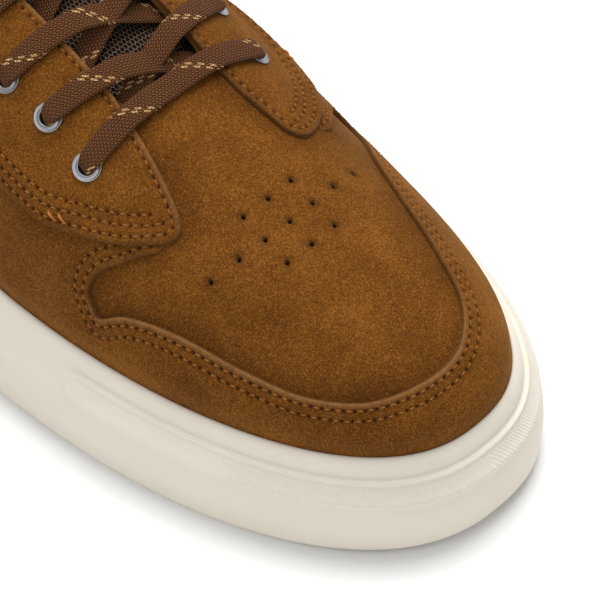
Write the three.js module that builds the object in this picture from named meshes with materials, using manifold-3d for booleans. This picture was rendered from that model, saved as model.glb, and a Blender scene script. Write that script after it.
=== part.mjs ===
import * as THREE from "three";
import { mergeVertices } from "three/addons/utils/BufferGeometryUtils.js";
import Module from "manifold-3d";

const wasm = await Module();
wasm.setup();

// A low skateboarding shoe for the right foot, in millimetres, standing on the floor at Z = 0.
// The toe points to -Y, the lateral side is -X and the medial side is +X.

// Sole sizes
const soleLength = 300;
const ballWidth = 112;
const heelWidth = 86;
const toeTipShift = 2.7;
const wallHeight = 31;
const edgeBevel = 2.4;
const toeSpring = 3;
const springLength = 75;
const forefootFloor = 11;
const heelFloor = 17;
const rimInset = 7.7;
const treadDepth = 2;
const treadWidth = 3;
const treadPitch = 14;
const treadBorder = 13;

// Toe bumper band sizes
const bumperProud = 1;
const bumperRoot = 1.5;
const bumperBottom = 19.4;
const bumperTop = 25.2;

// Upper sizes
const clearance = 0.3;
const upperWall = 2;
const instepHeight = 110;
const backHeight = 90;
const heelSwell = 2.5;
const heelSwellHeight = 52;
const overlayThickness = 1.2;
const throatWidth = 28;
const throatCornerRadius = 9;

// Tongue and insole sizes
const tongueThickness = 5.5;
const tongueFrontWidth = 40;
const tongueTopWidth = 60;
const tongueTopCorner = 10;
const tongueTabCorner = 2;
const tongueTabOverlap = 1;
const insoleThickness = 4.5;

// Eyelet and lace sizes
const eyeletPairs = 6;
const eyeletPitch = 15;
const eyeletSpan = 56;
const eyeletFlangeRadius = 3.8;
const eyeletBoreRadius = 2.1;
const eyeletBarrelWall = 0.4;
const eyeletFlangeThickness = 0.6;
const laceWidth = 6.3;
const laceThickness = 2;
const laceStopPitch = 3;
const climbFrom = 2;
const climbTo = 4;

const toeY = -soleLength / 2;
const heelY = soleLength / 2;
const upperInset = rimInset + clearance;
const stationsPerEnd = 9;
const stationsBetween = 9;
const columns = 16;

const clamp01 = (value) => Math.min(1, Math.max(0, value));
const smooth = (value) => {
  const t = clamp01(value);
  return t * t * (3 - 2 * t);
};
const lengthAt = (share) => toeY + share * soleLength;

// Plan outline of each side: half widths as shares of the ball width, stations as shares of the length.
// spread and round are the exponents of the toe's quarter curve.
const lateral = { side: -1, ballAt: 0.387, waistAt: 0.633, waist: 0.411, spread: 2.04, round: 2.18 };
const medial = { side: 1, ballAt: 0.375, waistAt: 0.633, waist: 0.375, spread: 2.14, round: 2.54 };
const heelAt = 0.843;
const heelRound = 2.2;

// Distance from X = 0 to the outline of one side, drawn in by an inset.
function halfWidth(plan, y, inset) {
  const ball = ballWidth / 2 - inset;
  const waist = plan.waist * ballWidth - inset;
  const heel = heelWidth / 2 - inset;
  const ballY = lengthAt(plan.ballAt);
  const waistY = lengthAt(plan.waistAt);
  const backY = lengthAt(heelAt);
  if (y < ballY) {
    const tip = toeTipShift * plan.side;
    const t = clamp01((ballY - y) / (ballY - toeY - inset));
    return tip + (ball - tip) * (1 - t ** plan.spread) ** (1 / plan.round);
  }
  if (y < waistY) return ball + (waist - ball) * smooth((y - ballY) / (waistY - ballY));
  if (y < backY) return waist + (heel - waist) * smooth((y - waistY) / (backY - waistY));
  const t = clamp01((y - backY) / (heelY - inset - backY));
  return heel * (1 - t ** heelRound) ** (1 / heelRound);
}

// Stations along the foot, close together where the toe and the heel turn.
function stations(inset) {
  const ballY = lengthAt(lateral.ballAt);
  const backY = lengthAt(heelAt);
  const list = [];
  for (let i = 0; i <= stationsPerEnd; i += 1) {
    list.push(ballY - (ballY - toeY - inset) * Math.cos((i / stationsPerEnd) * (Math.PI / 2)));
  }
  for (let i = 1; i < stationsBetween; i += 1) {
    list.push(ballY + ((backY - ballY) * i) / stationsBetween);
  }
  for (let i = 0; i <= stationsPerEnd; i += 1) {
    list.push(backY + (heelY - inset - backY) * Math.sin((i / stationsPerEnd) * (Math.PI / 2)));
  }
  return list;
}

// Crown of the upper along the foot: rise above the sole wall as a share of the instep's rise, and the
// exponents of the section on each side.
const crown = [
  { at: 0.027, rise: 0.291, lateralSpread: 2.5, lateralRound: 2.0, medialSpread: 2.5, medialRound: 1.3 },
  { at: 0.1, rise: 0.32, lateralSpread: 2.5, lateralRound: 2.0, medialSpread: 2.5, medialRound: 1.25 },
  { at: 0.167, rise: 0.354, lateralSpread: 2.5, lateralRound: 1.9, medialSpread: 2.5, medialRound: 1.2 },
  { at: 0.223, rise: 0.415, lateralSpread: 2.5, lateralRound: 1.9, medialSpread: 2.4, medialRound: 1.2 },
  { at: 0.3, rise: 0.519, lateralSpread: 2.4, lateralRound: 1.8, medialSpread: 2.3, medialRound: 1.3 },
  { at: 0.367, rise: 0.633, lateralSpread: 2.3, lateralRound: 1.8, medialSpread: 2.2, medialRound: 1.45 },
  { at: 0.433, rise: 0.734, lateralSpread: 2.2, lateralRound: 1.8, medialSpread: 2.2, medialRound: 1.65 },
  { at: 0.5, rise: 0.823, lateralSpread: 2.2, lateralRound: 1.8, medialSpread: 2.2, medialRound: 1.75 },
  { at: 0.567, rise: 0.911, lateralSpread: 2.2, lateralRound: 1.9, medialSpread: 2.2, medialRound: 1.9 },
  { at: 0.65, rise: 1.0, lateralSpread: 2.3, lateralRound: 2.1, medialSpread: 2.3, medialRound: 2.1 },
  { at: 0.72, rise: 1.15, lateralSpread: 2.4, lateralRound: 2.3, medialSpread: 2.4, medialRound: 2.2 },
  { at: 0.8, rise: 1.19, lateralSpread: 2.4, lateralRound: 2.4, medialSpread: 2.4, medialRound: 2.4 },
  { at: 0.973, rise: 1.19, lateralSpread: 2.4, lateralRound: 2.4, medialSpread: 2.4, medialRound: 2.4 },
];

// Smooth curve without overshoot through one column of a table.
function along(table, column, share) {
  const at = clamp01((share - table[0].at) / (table.at(-1).at - table[0].at));
  const place = table[0].at + at * (table.at(-1).at - table[0].at);
  let i = 0;
  while (i < table.length - 2 && place > table[i + 1].at) i += 1;
  const step = (k) => table[k + 1].at - table[k].at;
  const slope = (k) => (table[k + 1][column] - table[k][column]) / step(k);
  const tangent = (k) => {
    if (k === 0) return slope(0);
    if (k === table.length - 1) return slope(k - 1);
    const before = slope(k - 1);
    const after = slope(k);
    return before * after <= 0 ? 0 : (2 * before * after) / (before + after);
  };
  const t = (place - table[i].at) / step(i);
  const from = table[i][column] * (1 + 2 * t) + tangent(i) * step(i) * t;
  const to = table[i + 1][column] * (3 - 2 * t) - tangent(i + 1) * step(i) * (1 - t);
  return from * (1 - t) ** 2 + to * t * t;
}

// Height of the upper's form, swollen by an offset, over a point of the plan.
const toeBoxAt = 0.183;
const toeBoxSpread = 2;
const toeBoxRound = 2.3;
const backCurveAt = 0.85;
const backCurveRound = 4;

function crownLine(y, offset) {
  const inset = upperInset - offset;
  return (halfWidth(medial, y, inset) - halfWidth(lateral, y, inset)) / 2;
}

function formHeight(x, y, offset) {
  const inset = upperInset - offset;
  const share = (y - toeY) / soleLength;
  const toeBoxY = lengthAt(toeBoxAt);
  const backCurveY = lengthAt(backCurveAt);
  const toe = clamp01((toeBoxY - y) / (toeBoxY - toeY - inset));
  const back = clamp01((y - backCurveY) / (heelY - inset - backCurveY));
  const closing = (1 - toe ** toeBoxSpread) ** (1 / toeBoxRound) * (1 - back ** 2) ** (1 / backCurveRound);
  const rise = (along(crown, "rise", share) * (instepHeight - wallHeight) + offset) * closing;
  const middle = crownLine(y, offset);
  const onLateral = x < middle;
  const plan = onLateral ? lateral : medial;
  const reach = halfWidth(plan, y, inset) - middle * plan.side;
  const out = reach > 0 ? clamp01(Math.abs(x - middle) / reach) : 1;
  const spread = along(crown, onLateral ? "lateralSpread" : "medialSpread", share);
  const round = along(crown, onLateral ? "lateralRound" : "medialRound", share);
  return wallHeight + rise * (1 - out ** spread) ** (1 / round);
}

// The back of the upper bulges a little over the sole before it draws in to the collar.
const swellFrom = 0.72;
const swellCentre = 0.83;

function swell(point) {
  const share = (point.y - toeY) / soleLength;
  const level = clamp01((point.z - wallHeight) / heelSwellHeight);
  const amount = heelSwell * Math.sin(level * Math.PI) * smooth((share - swellFrom) / (1 - swellFrom));
  const away = new THREE.Vector3(point.x, Math.max(0, point.y - lengthAt(swellCentre)), 0);
  return away.length() > 0 ? point.addScaledVector(away.normalize(), amount) : point;
}

// A point of the form and the direction that it faces.
function skin(x, y, offset) {
  return new THREE.Vector3(x, y, formHeight(x, y, offset));
}

function facing(x, y, offset) {
  const step = clearance;
  const slopeX = (formHeight(x + step, y, offset) - formHeight(x - step, y, offset)) / (2 * step);
  const slopeY = (formHeight(x, y + step, offset) - formHeight(x, y - step, offset)) / (2 * step);
  return new THREE.Vector3(-slopeX, -slopeY, 1).normalize();
}

// A closed solid from corner points and triangles: shared corners are merged and empty faces are left out.
function solid(points, faces) {
  const geometry = new THREE.BufferGeometry();
  geometry.setAttribute("position", new THREE.Float32BufferAttribute(points.flatMap((p) => [p.x, p.y, p.z]), 3));
  geometry.setIndex(faces.flat());
  return solidOf(geometry);
}

function solidOf(source) {
  const bare = source.clone();
  bare.deleteAttribute("normal");
  bare.deleteAttribute("uv");
  const merged = mergeVertices(bare, 1e-4);
  const vertices = merged.getAttribute("position").array;
  const index = merged.getIndex().array;
  const corner = (k) => new THREE.Vector3().fromArray(vertices, 3 * k);
  const kept = [];
  let volume = 0;
  for (let i = 0; i < index.length; i += 3) {
    const [a, b, c] = [index[i], index[i + 1], index[i + 2]];
    if (a !== b && b !== c && c !== a) {
      kept.push([a, b, c]);
      volume += corner(a).dot(corner(b).cross(corner(c)));
    }
  }
  const outward = volume < 0 ? kept.map(([a, b, c]) => [a, c, b]) : kept;
  return new wasm.Manifold(
    new wasm.Mesh({
      numProp: 3,
      vertProperties: new Float32Array(vertices),
      triVerts: new Uint32Array(outward.flat()),
    }),
  );
}

// Skin over equal closed sections in a row, with a fan over each end.
function loft(sections) {
  const count = sections[0].length;
  const faces = [];
  for (let s = 0; s < sections.length - 1; s += 1) {
    for (let k = 0; k < count; k += 1) {
      const a = s * count + k;
      const b = s * count + ((k + 1) % count);
      faces.push([a, b, b + count], [a, b + count, a + count]);
    }
  }
  const last = (sections.length - 1) * count;
  for (let k = 1; k < count - 1; k += 1) {
    faces.push([0, k + 1, k], [last, last + k, last + k + 1]);
  }
  return solid(sections.flat(), faces);
}

// Skin over outline loops, one above the other. Each end is closed by rungs from side to side.
function stack(loops) {
  const rows = loops[0].length / 2;
  const count = 2 * rows;
  const faces = [];
  for (let s = 0; s < loops.length - 1; s += 1) {
    for (let k = 0; k < count; k += 1) {
      const a = s * count + k;
      const b = s * count + ((k + 1) % count);
      faces.push([a, b, b + count], [a, b + count, a + count]);
    }
  }
  const last = (loops.length - 1) * count;
  for (let i = 0; i < rows - 1; i += 1) {
    const near = [i, i + 1];
    const far = [count - 1 - i, count - 2 - i];
    faces.push([near[0], far[1], near[1]], [near[0], far[0], far[1]]);
    faces.push([last + near[0], last + near[1], last + far[1]]);
    faces.push([last + near[0], last + far[1], last + far[0]]);
  }
  return solid(loops.flat(), faces);
}

// Skin over outline loops that close on themselves, for a band around the foot.
function hoop(loops) {
  const count = loops[0].length;
  const faces = [];
  for (let s = 0; s < loops.length; s += 1) {
    const next = (s + 1) % loops.length;
    for (let k = 0; k < count; k += 1) {
      const step = (k + 1) % count;
      faces.push([s * count + k, s * count + step, next * count + step]);
      faces.push([s * count + k, next * count + step, next * count + k]);
    }
  }
  return solid(loops.flat(), faces);
}

// An outline loop at an inset: down the lateral side from toe to heel and back up the medial side.
function outlineLoop(inset, heightAt) {
  const rows = stations(inset);
  const near = rows.map((y) => new THREE.Vector3(-halfWidth(lateral, y, inset), y, heightAt(y)));
  const far = rows.map((y) => new THREE.Vector3(halfWidth(medial, y, inset), y, heightAt(y)));
  return [...near, ...far.reverse()];
}

// The upper's form as a closed solid: a dome over the outline with straight sides below the wall's top.
function form(offset, bottomAt) {
  const inset = upperInset - offset;
  const sections = stations(inset).map((y) => {
    const near = -halfWidth(lateral, y, inset);
    const far = halfWidth(medial, y, inset);
    const middle = crownLine(y, offset);
    const section = [new THREE.Vector3(near, y, bottomAt(y))];
    for (let k = 0; k <= columns; k += 1) {
      const across = Math.sin((k / columns - 0.5) * Math.PI);
      const x = middle + across * (across < 0 ? middle - near : far - middle);
      section.push(swell(skin(x, y, offset)));
    }
    section.push(new THREE.Vector3(far, y, bottomAt(y)));
    return section;
  });
  return loft(sections);
}

// A prism over a plan outline, and one across the shoe over an outline seen from the side.
function planPrism(shape, bottom, top, curveSegments = 4) {
  const geometry = new THREE.ExtrudeGeometry(shape, { depth: top - bottom, bevelEnabled: false, curveSegments });
  return solidOf(geometry.translate(0, 0, bottom));
}

function sidePrism(shape, curveSegments = 2) {
  const depth = 2 * ballWidth;
  const geometry = new THREE.ExtrudeGeometry(shape, { depth, bevelEnabled: false, curveSegments });
  const turn = new THREE.Matrix4().makeBasis(
    new THREE.Vector3(0, 1, 0),
    new THREE.Vector3(0, 0, 1),
    new THREE.Vector3(1, 0, 0),
  );
  return solidOf(geometry.applyMatrix4(turn).translate(-depth / 2, 0, 0));
}

const aboveShoe = 2 * instepHeight;

// Cupsole: an outer wall that leans in to its rim, a cup for the upper and a sprung, bevelled underside.
// Levels are shares of the wall's height, and insets are shares of the rim's.
const wallSteps = [
  { level: 0.6, inset: 0.12 },
  { level: 0.66, inset: 0.25 },
  { level: 0.813, inset: 0.6 },
  { level: 0.96, inset: 0.79 },
  { level: 1.0, inset: 0.92 },
];

const undersideAt = (y) => toeSpring * clamp01((toeY + springLength - y) / springLength) ** 2;
const floorAt = (y) => {
  const rise = smooth((y - lengthAt(0.3)) / (soleLength * 0.45));
  return forefootFloor + (heelFloor - forefootFloor) * rise;
};

function wallPointInset(height) {
  const rows = [{ level: edgeBevel / wallHeight, inset: 0 }, ...wallSteps];
  const level = height / wallHeight;
  let i = 0;
  while (i < rows.length - 2 && level > rows[i + 1].level) i += 1;
  const t = (level - rows[i].level) / (rows[i + 1].level - rows[i].level);
  return rimInset * (rows[i].inset + t * (rows[i + 1].inset - rows[i].inset));
}

function treadGrooves() {
  const grooves = [];
  const first = lengthAt(0.09);
  const last = lengthAt(0.94);
  const archFrom = lengthAt(0.5);
  const archTo = lengthAt(0.66);
  for (let y = first; y < last; y += treadPitch) {
    const near = halfWidth(lateral, y, treadBorder);
    const far = halfWidth(medial, y, treadBorder);
    if ((y < archFrom || y > archTo) && near + far > 2 * treadBorder) {
      const roof = undersideAt(y) + treadDepth;
      const bar = new THREE.BoxGeometry(near + far, treadWidth, 2 * roof);
      grooves.push(solidOf(bar.translate((far - near) / 2, y, 0)));
    }
  }
  return grooves;
}

// The bumper is a band moulded on the wall around the toe, with a square step at each end.
const bumperLateralEnd = 0.313;
const bumperMedialEnd = 0.32;

function bumperBand() {
  const low = wallPointInset(bumperBottom);
  const high = wallPointInset(bumperTop);
  const band = hoop([
    outlineLoop(low + bumperRoot, () => bumperBottom),
    outlineLoop(low - bumperProud / 2, () => bumperBottom),
    outlineLoop(high - bumperProud, () => bumperTop),
    outlineLoop(high + bumperRoot, () => bumperTop),
  ]);
  const lateralY = lengthAt(bumperLateralEnd);
  const medialY = lengthAt(bumperMedialEnd);
  const ends = new THREE.Shape();
  ends.moveTo(-ballWidth, toeY - ballWidth);
  ends.lineTo(ballWidth, toeY - ballWidth);
  ends.lineTo(ballWidth, medialY);
  ends.lineTo(0, medialY);
  ends.lineTo(0, lateralY);
  ends.lineTo(-ballWidth, lateralY);
  return band.intersect(planPrism(ends, 0, wallHeight));
}

function cupsole() {
  const wall = wallSteps.map((row) => outlineLoop(row.inset * rimInset, () => row.level * wallHeight));
  let body = stack([
    outlineLoop(edgeBevel, undersideAt),
    outlineLoop(0, (y) => undersideAt(y) + edgeBevel),
    ...wall,
    outlineLoop(rimInset, () => wallHeight),
    outlineLoop(rimInset, floorAt),
  ]);
  body = body.add(bumperBand());
  for (const groove of treadGrooves()) body = body.subtract(groove);
  return body;
}

// Insole: a slab on the floor of the cup.
function insole() {
  const inset = upperInset + upperWall + clearance;
  const bottom = outlineLoop(inset, (y) => floorAt(y) + clearance);
  const top = outlineLoop(inset, (y) => floorAt(y) + clearance + insoleThickness);
  return stack([bottom, top]);
}

// Topline of the collar seen from the side: shares of the length and of the height at the back.
const toplineRows = [
  { at: 0.64, height: 1.5 },
  { at: 0.655, height: 1.145 },
  { at: 0.693, height: 0.975 },
  { at: 0.75, height: 0.855 },
  { at: 0.81, height: 0.81 },
  { at: 0.873, height: 0.855 },
  { at: 0.933, height: 0.95 },
  { at: 0.97, height: 0.99 },
  { at: 1.03, height: 1.0 },
];

function aboveTopline() {
  const points = toplineRows.map((row) => new THREE.Vector2(lengthAt(row.at), row.height * backHeight));
  const shape = new THREE.Shape();
  shape.moveTo(points[0].x, points[0].y);
  shape.splineThru(points.slice(1));
  shape.lineTo(lengthAt(1.03), aboveShoe);
  shape.lineTo(points[0].x, aboveShoe);
  return sidePrism(shape);
}

// Throat: the gap between the eyestays, with round corners where the vamp ends.
const throatAt = 0.357;

function throat() {
  const half = throatWidth / 2;
  const front = lengthAt(throatAt);
  const back = lengthAt(0.72);
  const shape = new THREE.Shape();
  shape.moveTo(-half, back);
  shape.lineTo(-half, front + throatCornerRadius);
  shape.absarc(-half + throatCornerRadius, front + throatCornerRadius, throatCornerRadius, Math.PI, 1.5 * Math.PI);
  shape.lineTo(half - throatCornerRadius, front);
  shape.absarc(half - throatCornerRadius, front + throatCornerRadius, throatCornerRadius, 1.5 * Math.PI, 0);
  shape.lineTo(half, back);
  return planPrism(shape, wallHeight + clearance, aboveShoe);
}

// Eyelets: places on the eyestays, the hole of each one and the rolled ring that lines it.
const firstEyeletAt = 0.358;
const eyeletPlaces = [];
for (const side of [-1, 1]) {
  for (let k = 0; k < eyeletPairs; k += 1) {
    const place = { side, row: k, x: (side * eyeletSpan) / 2, y: lengthAt(firstEyeletAt) + k * eyeletPitch };
    eyeletPlaces.push(place);
  }
}
const overlayTop = clearance + overlayThickness;

function onEyelet(geometry, place) {
  const up = new THREE.Vector3(0, 0, 1);
  const turn = new THREE.Quaternion().setFromUnitVectors(up, facing(place.x, place.y, overlayTop));
  const centre = skin(place.x, place.y, overlayTop);
  return geometry.rotateX(Math.PI / 2).applyQuaternion(turn).translate(centre.x, centre.y, centre.z);
}

const eyeletSegments = 8;
const barrelRadius = eyeletBoreRadius + eyeletBarrelWall;
const barrelDepth = overlayTop + upperWall;

function eyeletHole(place) {
  const depth = 4 * barrelDepth;
  const radius = barrelRadius + clearance;
  const pin = new THREE.CylinderGeometry(radius, radius, depth, eyeletSegments);
  return solidOf(onEyelet(pin, place));
}

function eyelet(place) {
  const seat = clearance;
  const top = seat + eyeletFlangeThickness;
  const profile = [
    new THREE.Vector2(eyeletBoreRadius, -barrelDepth),
    new THREE.Vector2(barrelRadius, -barrelDepth),
    new THREE.Vector2(barrelRadius, seat),
    new THREE.Vector2(eyeletFlangeRadius, seat),
    new THREE.Vector2(eyeletFlangeRadius - seat, top),
    new THREE.Vector2(eyeletBoreRadius, top),
    new THREE.Vector2(eyeletBoreRadius, -barrelDepth),
  ];
  return solidOf(onEyelet(new THREE.LatheGeometry(profile, eyeletSegments), place));
}

const eyeletHoles = wasm.Manifold.union(eyeletPlaces.map(eyeletHole));

// Upper: one hollow wall, open at the throat and collar, and underneath where the sole closes it.
function upper() {
  const outside = form(0, (y) => floorAt(y) + clearance);
  const inside = form(-upperWall, () => 0);
  return outside.subtract(inside).subtract(aboveTopline()).subtract(throat()).subtract(eyeletHoles);
}

// Overlays: cut from a shell that lies a clearance outside the upper.
const overlayShell = form(overlayTop, () => 0).subtract(form(clearance, () => -1));

// Edges of one eyestay in plan: out as a share of half the throat, or of the upper's half width.
const eyestayInner = [
  { out: 1.0, at: 0.7 },
  { out: 0.98, at: 0.42 },
  { out: 1.05, at: 0.367 },
  { out: 1.21, at: 0.327 },
  { out: 1.43, at: 0.293 },
  { out: 1.6, at: 0.277 },
];
const eyestayOuter = [
  { out: 0.545, at: 0.271 },
  { out: 0.63, at: 0.279 },
  { out: 0.73, at: 0.302 },
  { out: 0.805, at: 0.335 },
  { out: 0.86, at: 0.375 },
  { out: 0.87, at: 0.433 },
  { out: 0.885, at: 0.517 },
  { out: 0.87, at: 0.593 },
  { out: 0.85, at: 0.7 },
];

function planShape(points) {
  const shape = new THREE.Shape();
  shape.moveTo(points[0].x, points[0].y);
  shape.splineThru(points.slice(1));
  return shape;
}

const planPoint = (side, row) => new THREE.Vector2((side * row.out * ballWidth) / 2, lengthAt(row.at));

function eyestayPlan(side) {
  const plan = side < 0 ? lateral : medial;
  const inner = eyestayInner.map((row) => new THREE.Vector2((side * row.out * throatWidth) / 2, lengthAt(row.at)));
  const outer = eyestayOuter.map((row) => {
    const y = lengthAt(row.at);
    return new THREE.Vector2(side * row.out * halfWidth(plan, y, upperInset), y);
  });
  return [...inner, ...outer];
}

function eyestayPrism(side) {
  return planPrism(planShape(eyestayPlan(side)), wallHeight + clearance, aboveShoe, 1);
}

function eyestay(side) {
  return overlayShell.intersect(eyestayPrism(side)).subtract(aboveTopline()).subtract(eyeletHoles);
}

// Inner edge of the mudguard in plan, from its lateral end around the toe to its medial end.
const mudguardRows = [
  { side: -1, out: 0.6, at: 0.54 },
  { side: -1, out: 0.56, at: 0.31 },
  { side: -1, out: 0.66, at: 0.299 },
  { side: -1, out: 0.74, at: 0.313 },
  { side: -1, out: 0.79, at: 0.31 },
  { side: -1, out: 0.803, at: 0.295 },
  { side: -1, out: 0.755, at: 0.272 },
  { side: -1, out: 0.68, at: 0.223 },
  { side: -1, out: 0.6, at: 0.165 },
  { side: -1, out: 0.5, at: 0.115 },
  { side: -1, out: 0.33, at: 0.075 },
  { side: -1, out: 0.1, at: 0.056 },
  { side: 1, out: 0.13, at: 0.058 },
  { side: 1, out: 0.31, at: 0.085 },
  { side: 1, out: 0.42, at: 0.13 },
  { side: 1, out: 0.54, at: 0.195 },
  { side: 1, out: 0.65, at: 0.245 },
  { side: 1, out: 0.75, at: 0.277 },
  { side: 1, out: 0.795, at: 0.3 },
  { side: 1, out: 0.75, at: 0.316 },
  { side: 1, out: 0.66, at: 0.299 },
  { side: 1, out: 0.56, at: 0.31 },
  { side: 1, out: 0.6, at: 0.54 },
];

// The eyestays lie over the mudguard's ends, which stop a clearance short of them here.
function mudguard() {
  const points = mudguardRows.map((row) => planPoint(row.side, row));
  const shape = planShape(points);
  const end = points.at(-1).y;
  shape.lineTo(ballWidth, end);
  shape.lineTo(ballWidth, toeY - ballWidth);
  shape.lineTo(-ballWidth, toeY - ballWidth);
  shape.lineTo(-ballWidth, end);
  const cutter = planPrism(shape, wallHeight + clearance, aboveShoe, 2);
  return overlayShell.intersect(cutter).subtract(widerEyestay(-1)).subtract(widerEyestay(1));
}

function widerEyestay(side) {
  const points = eyestayPlan(side);
  const closed = points.map((point, k) => {
    const before = points[Math.max(0, k - 1)];
    const after = points[Math.min(points.length - 1, k + 1)];
    const run = new THREE.Vector2().subVectors(after, before).normalize();
    return new THREE.Vector2(point.x - side * run.y * -clearance * 2, point.y + side * run.x * -clearance * 2);
  });
  return planPrism(planShape(closed), wallHeight, aboveShoe, 1);
}

// Heel counter: the overlay around the back, seen from the side with a leaning front edge.
function heelCounter() {
  const foot = wallHeight + clearance;
  const top = 0.74 * backHeight;
  const shape = new THREE.Shape();
  shape.moveTo(lengthAt(0.76), foot);
  shape.quadraticCurveTo(lengthAt(0.8), 0.55 * backHeight, lengthAt(0.93), top);
  shape.lineTo(lengthAt(1.1), top);
  shape.lineTo(lengthAt(1.1), foot);
  return overlayShell.intersect(sidePrism(shape, 8));
}

// Tongue: a padded strip under the throat. Its front tab is stitched to the underside of the vamp.
const laceRoom = upperWall + laceThickness + 5 * clearance;

function tonguePlan(frontAt, backAt, frontHalf, backHalf, corner) {
  const front = lengthAt(frontAt);
  const back = lengthAt(backAt);
  const shape = new THREE.Shape();
  shape.moveTo(-frontHalf, front);
  shape.lineTo(frontHalf, front);
  shape.lineTo(backHalf, back - corner);
  shape.quadraticCurveTo(backHalf, back, backHalf - corner, back);
  shape.lineTo(corner - backHalf, back);
  shape.quadraticCurveTo(-backHalf, back, -backHalf, back - corner);
  return planPrism(shape, wallHeight + clearance, aboveShoe);
}

function tongue() {
  const frontHalf = tongueFrontWidth / 2;
  const topHalf = tongueTopWidth / 2;
  const shell = form(-laceRoom, () => 0).subtract(form(-laceRoom - tongueThickness, () => -1));
  const blade = shell.intersect(tonguePlan(0.3, 0.715, frontHalf, topHalf, tongueTopCorner));
  const tabShell = form(-upperWall - clearance, () => 0).subtract(form(-laceRoom - tongueTabOverlap, () => -1));
  const tab = tabShell.intersect(tonguePlan(0.3, 0.335, frontHalf, frontHalf, tongueTabCorner));
  return blade.add(tab);
}

// Lace: flat strands of six-sided section. A stop of a route lies on the form swollen by its offset,
// lifted along the normal.
const strandCorners = [
  [-0.5, 0],
  [-0.36, 0.5],
  [0.36, 0.5],
  [0.5, 0],
  [0.36, -0.5],
  [-0.36, -0.5],
];

function strand(route) {
  const normals = route.map((stop) => facing(stop.x, stop.y, stop.offset));
  const places = route.map((stop, k) => skin(stop.x, stop.y, stop.offset).addScaledVector(normals[k], stop.lift));
  const sections = places.map((place, k) => {
    const ahead = places[Math.min(places.length - 1, k + 1)];
    const run = new THREE.Vector3().subVectors(ahead, places[Math.max(0, k - 1)]);
    const across = new THREE.Vector3().crossVectors(run, normals[k]).normalize();
    const up = new THREE.Vector3().crossVectors(across, run).normalize();
    return strandCorners.map(([a, b]) =>
      place.clone().addScaledVector(across, a * laceWidth).addScaledVector(up, b * laceThickness),
    );
  });
  return loft(sections);
}

// A stop between lying under the upper's wall, at rise 0, and lying on the eyestays, at rise 1.
const seatOver = 1.4 * clearance + laceThickness / 2;
const seatUnder = 2.4 * clearance + laceThickness / 2;
const laceEnd = eyeletSpan / 2 - eyeletFlangeRadius - 2 * clearance;

function laceStop(x, y, rise) {
  const offset = -upperWall + rise * (upperWall + overlayTop);
  return { x, y, offset, lift: rise * (seatOver + seatUnder) - seatUnder };
}

const barSag = 0.25;

function laceBar() {
  const y = lengthAt(firstEyeletAt);
  const half = throatWidth / 2;
  const outer = [half, half + laceStopPitch, half + 2 * laceStopPitch, laceEnd];
  const inner = [-half / 2, 0, half / 2];
  const stops = [...outer.map((x) => -x).reverse(), ...inner, ...outer];
  return strand(stops.map((x) => laceStop(x, y, 1 - barSag * (1 - smooth(Math.abs(x) / half)))));
}

// One strand of a crossing: it leaves from under one eyestay and ends over the opposite one, a row higher.
function crossingStrand(side, row) {
  const half = throatWidth / 2;
  const from = lengthAt(firstEyeletAt) + row * eyeletPitch;
  const start = [-laceEnd, -half - 2 * laceStopPitch, climbFrom - half, -half / 2, 0, half / 2];
  const end = [half - climbTo, half, half + laceStopPitch, half + 2 * laceStopPitch, laceEnd];
  const stops = [...start, ...end];
  const route = stops.map((out) => {
    const share = (out + eyeletSpan / 2) / eyeletSpan;
    const rise = smooth((out + half - climbFrom) / (2 * half - climbFrom - climbTo));
    return laceStop(-side * out, from + share * eyeletPitch, rise);
  });
  return strand(route);
}

function laceCrossing(row) {
  return crossingStrand(-1, row).add(crossingStrand(1, row));
}

// Materials and named pieces
const group = new THREE.Group();
const finish = (color, roughness, metalness = 0) =>
  new THREE.MeshStandardMaterial({ color, roughness, metalness });
const suede = finish(0x7a4a1c, 0.95);
const rubber = finish(0xe6dfcd, 0.6);
const foam = finish(0x2c2622, 0.9);
const mesh = finish(0x33261d, 0.95);
const braid = finish(0x5a3521, 0.85);
const metal = finish(0xb9bcc0, 0.35, 1);

function add(name, body, material) {
  const data = body.getMesh();
  const geometry = new THREE.BufferGeometry();
  geometry.setAttribute("position", new THREE.Float32BufferAttribute(data.vertProperties, data.numProp));
  geometry.setIndex(Array.from(data.triVerts));
  const piece = new THREE.Mesh(geometry, material);
  piece.name = name;
  group.add(piece);
}

add("sole", cupsole(), rubber);
add("insole", insole(), foam);
add("upper", upper(), suede);
add("tongue", tongue(), mesh);
add("mudguard", mudguard(), suede);
add("eyestay_lateral", eyestay(-1), suede);
add("eyestay_medial", eyestay(1), suede);
add("heel_counter", heelCounter(), suede);
for (const place of eyeletPlaces) {
  const sideName = place.side < 0 ? "lateral" : "medial";
  add(`eyelet_${sideName}_${place.row + 1}`, eyelet(place), metal);
}
add("lace_bar", laceBar(), braid);
for (let row = 0; row < eyeletPairs - 1; row += 1) {
  add(`lace_crossing_${row + 1}`, laceCrossing(row), braid);
}

export default group;
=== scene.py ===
import math

import bpy
import numpy as np
from mathutils import Matrix, Vector
from mathutils.geometry import delaunay_2d_cdt


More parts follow.
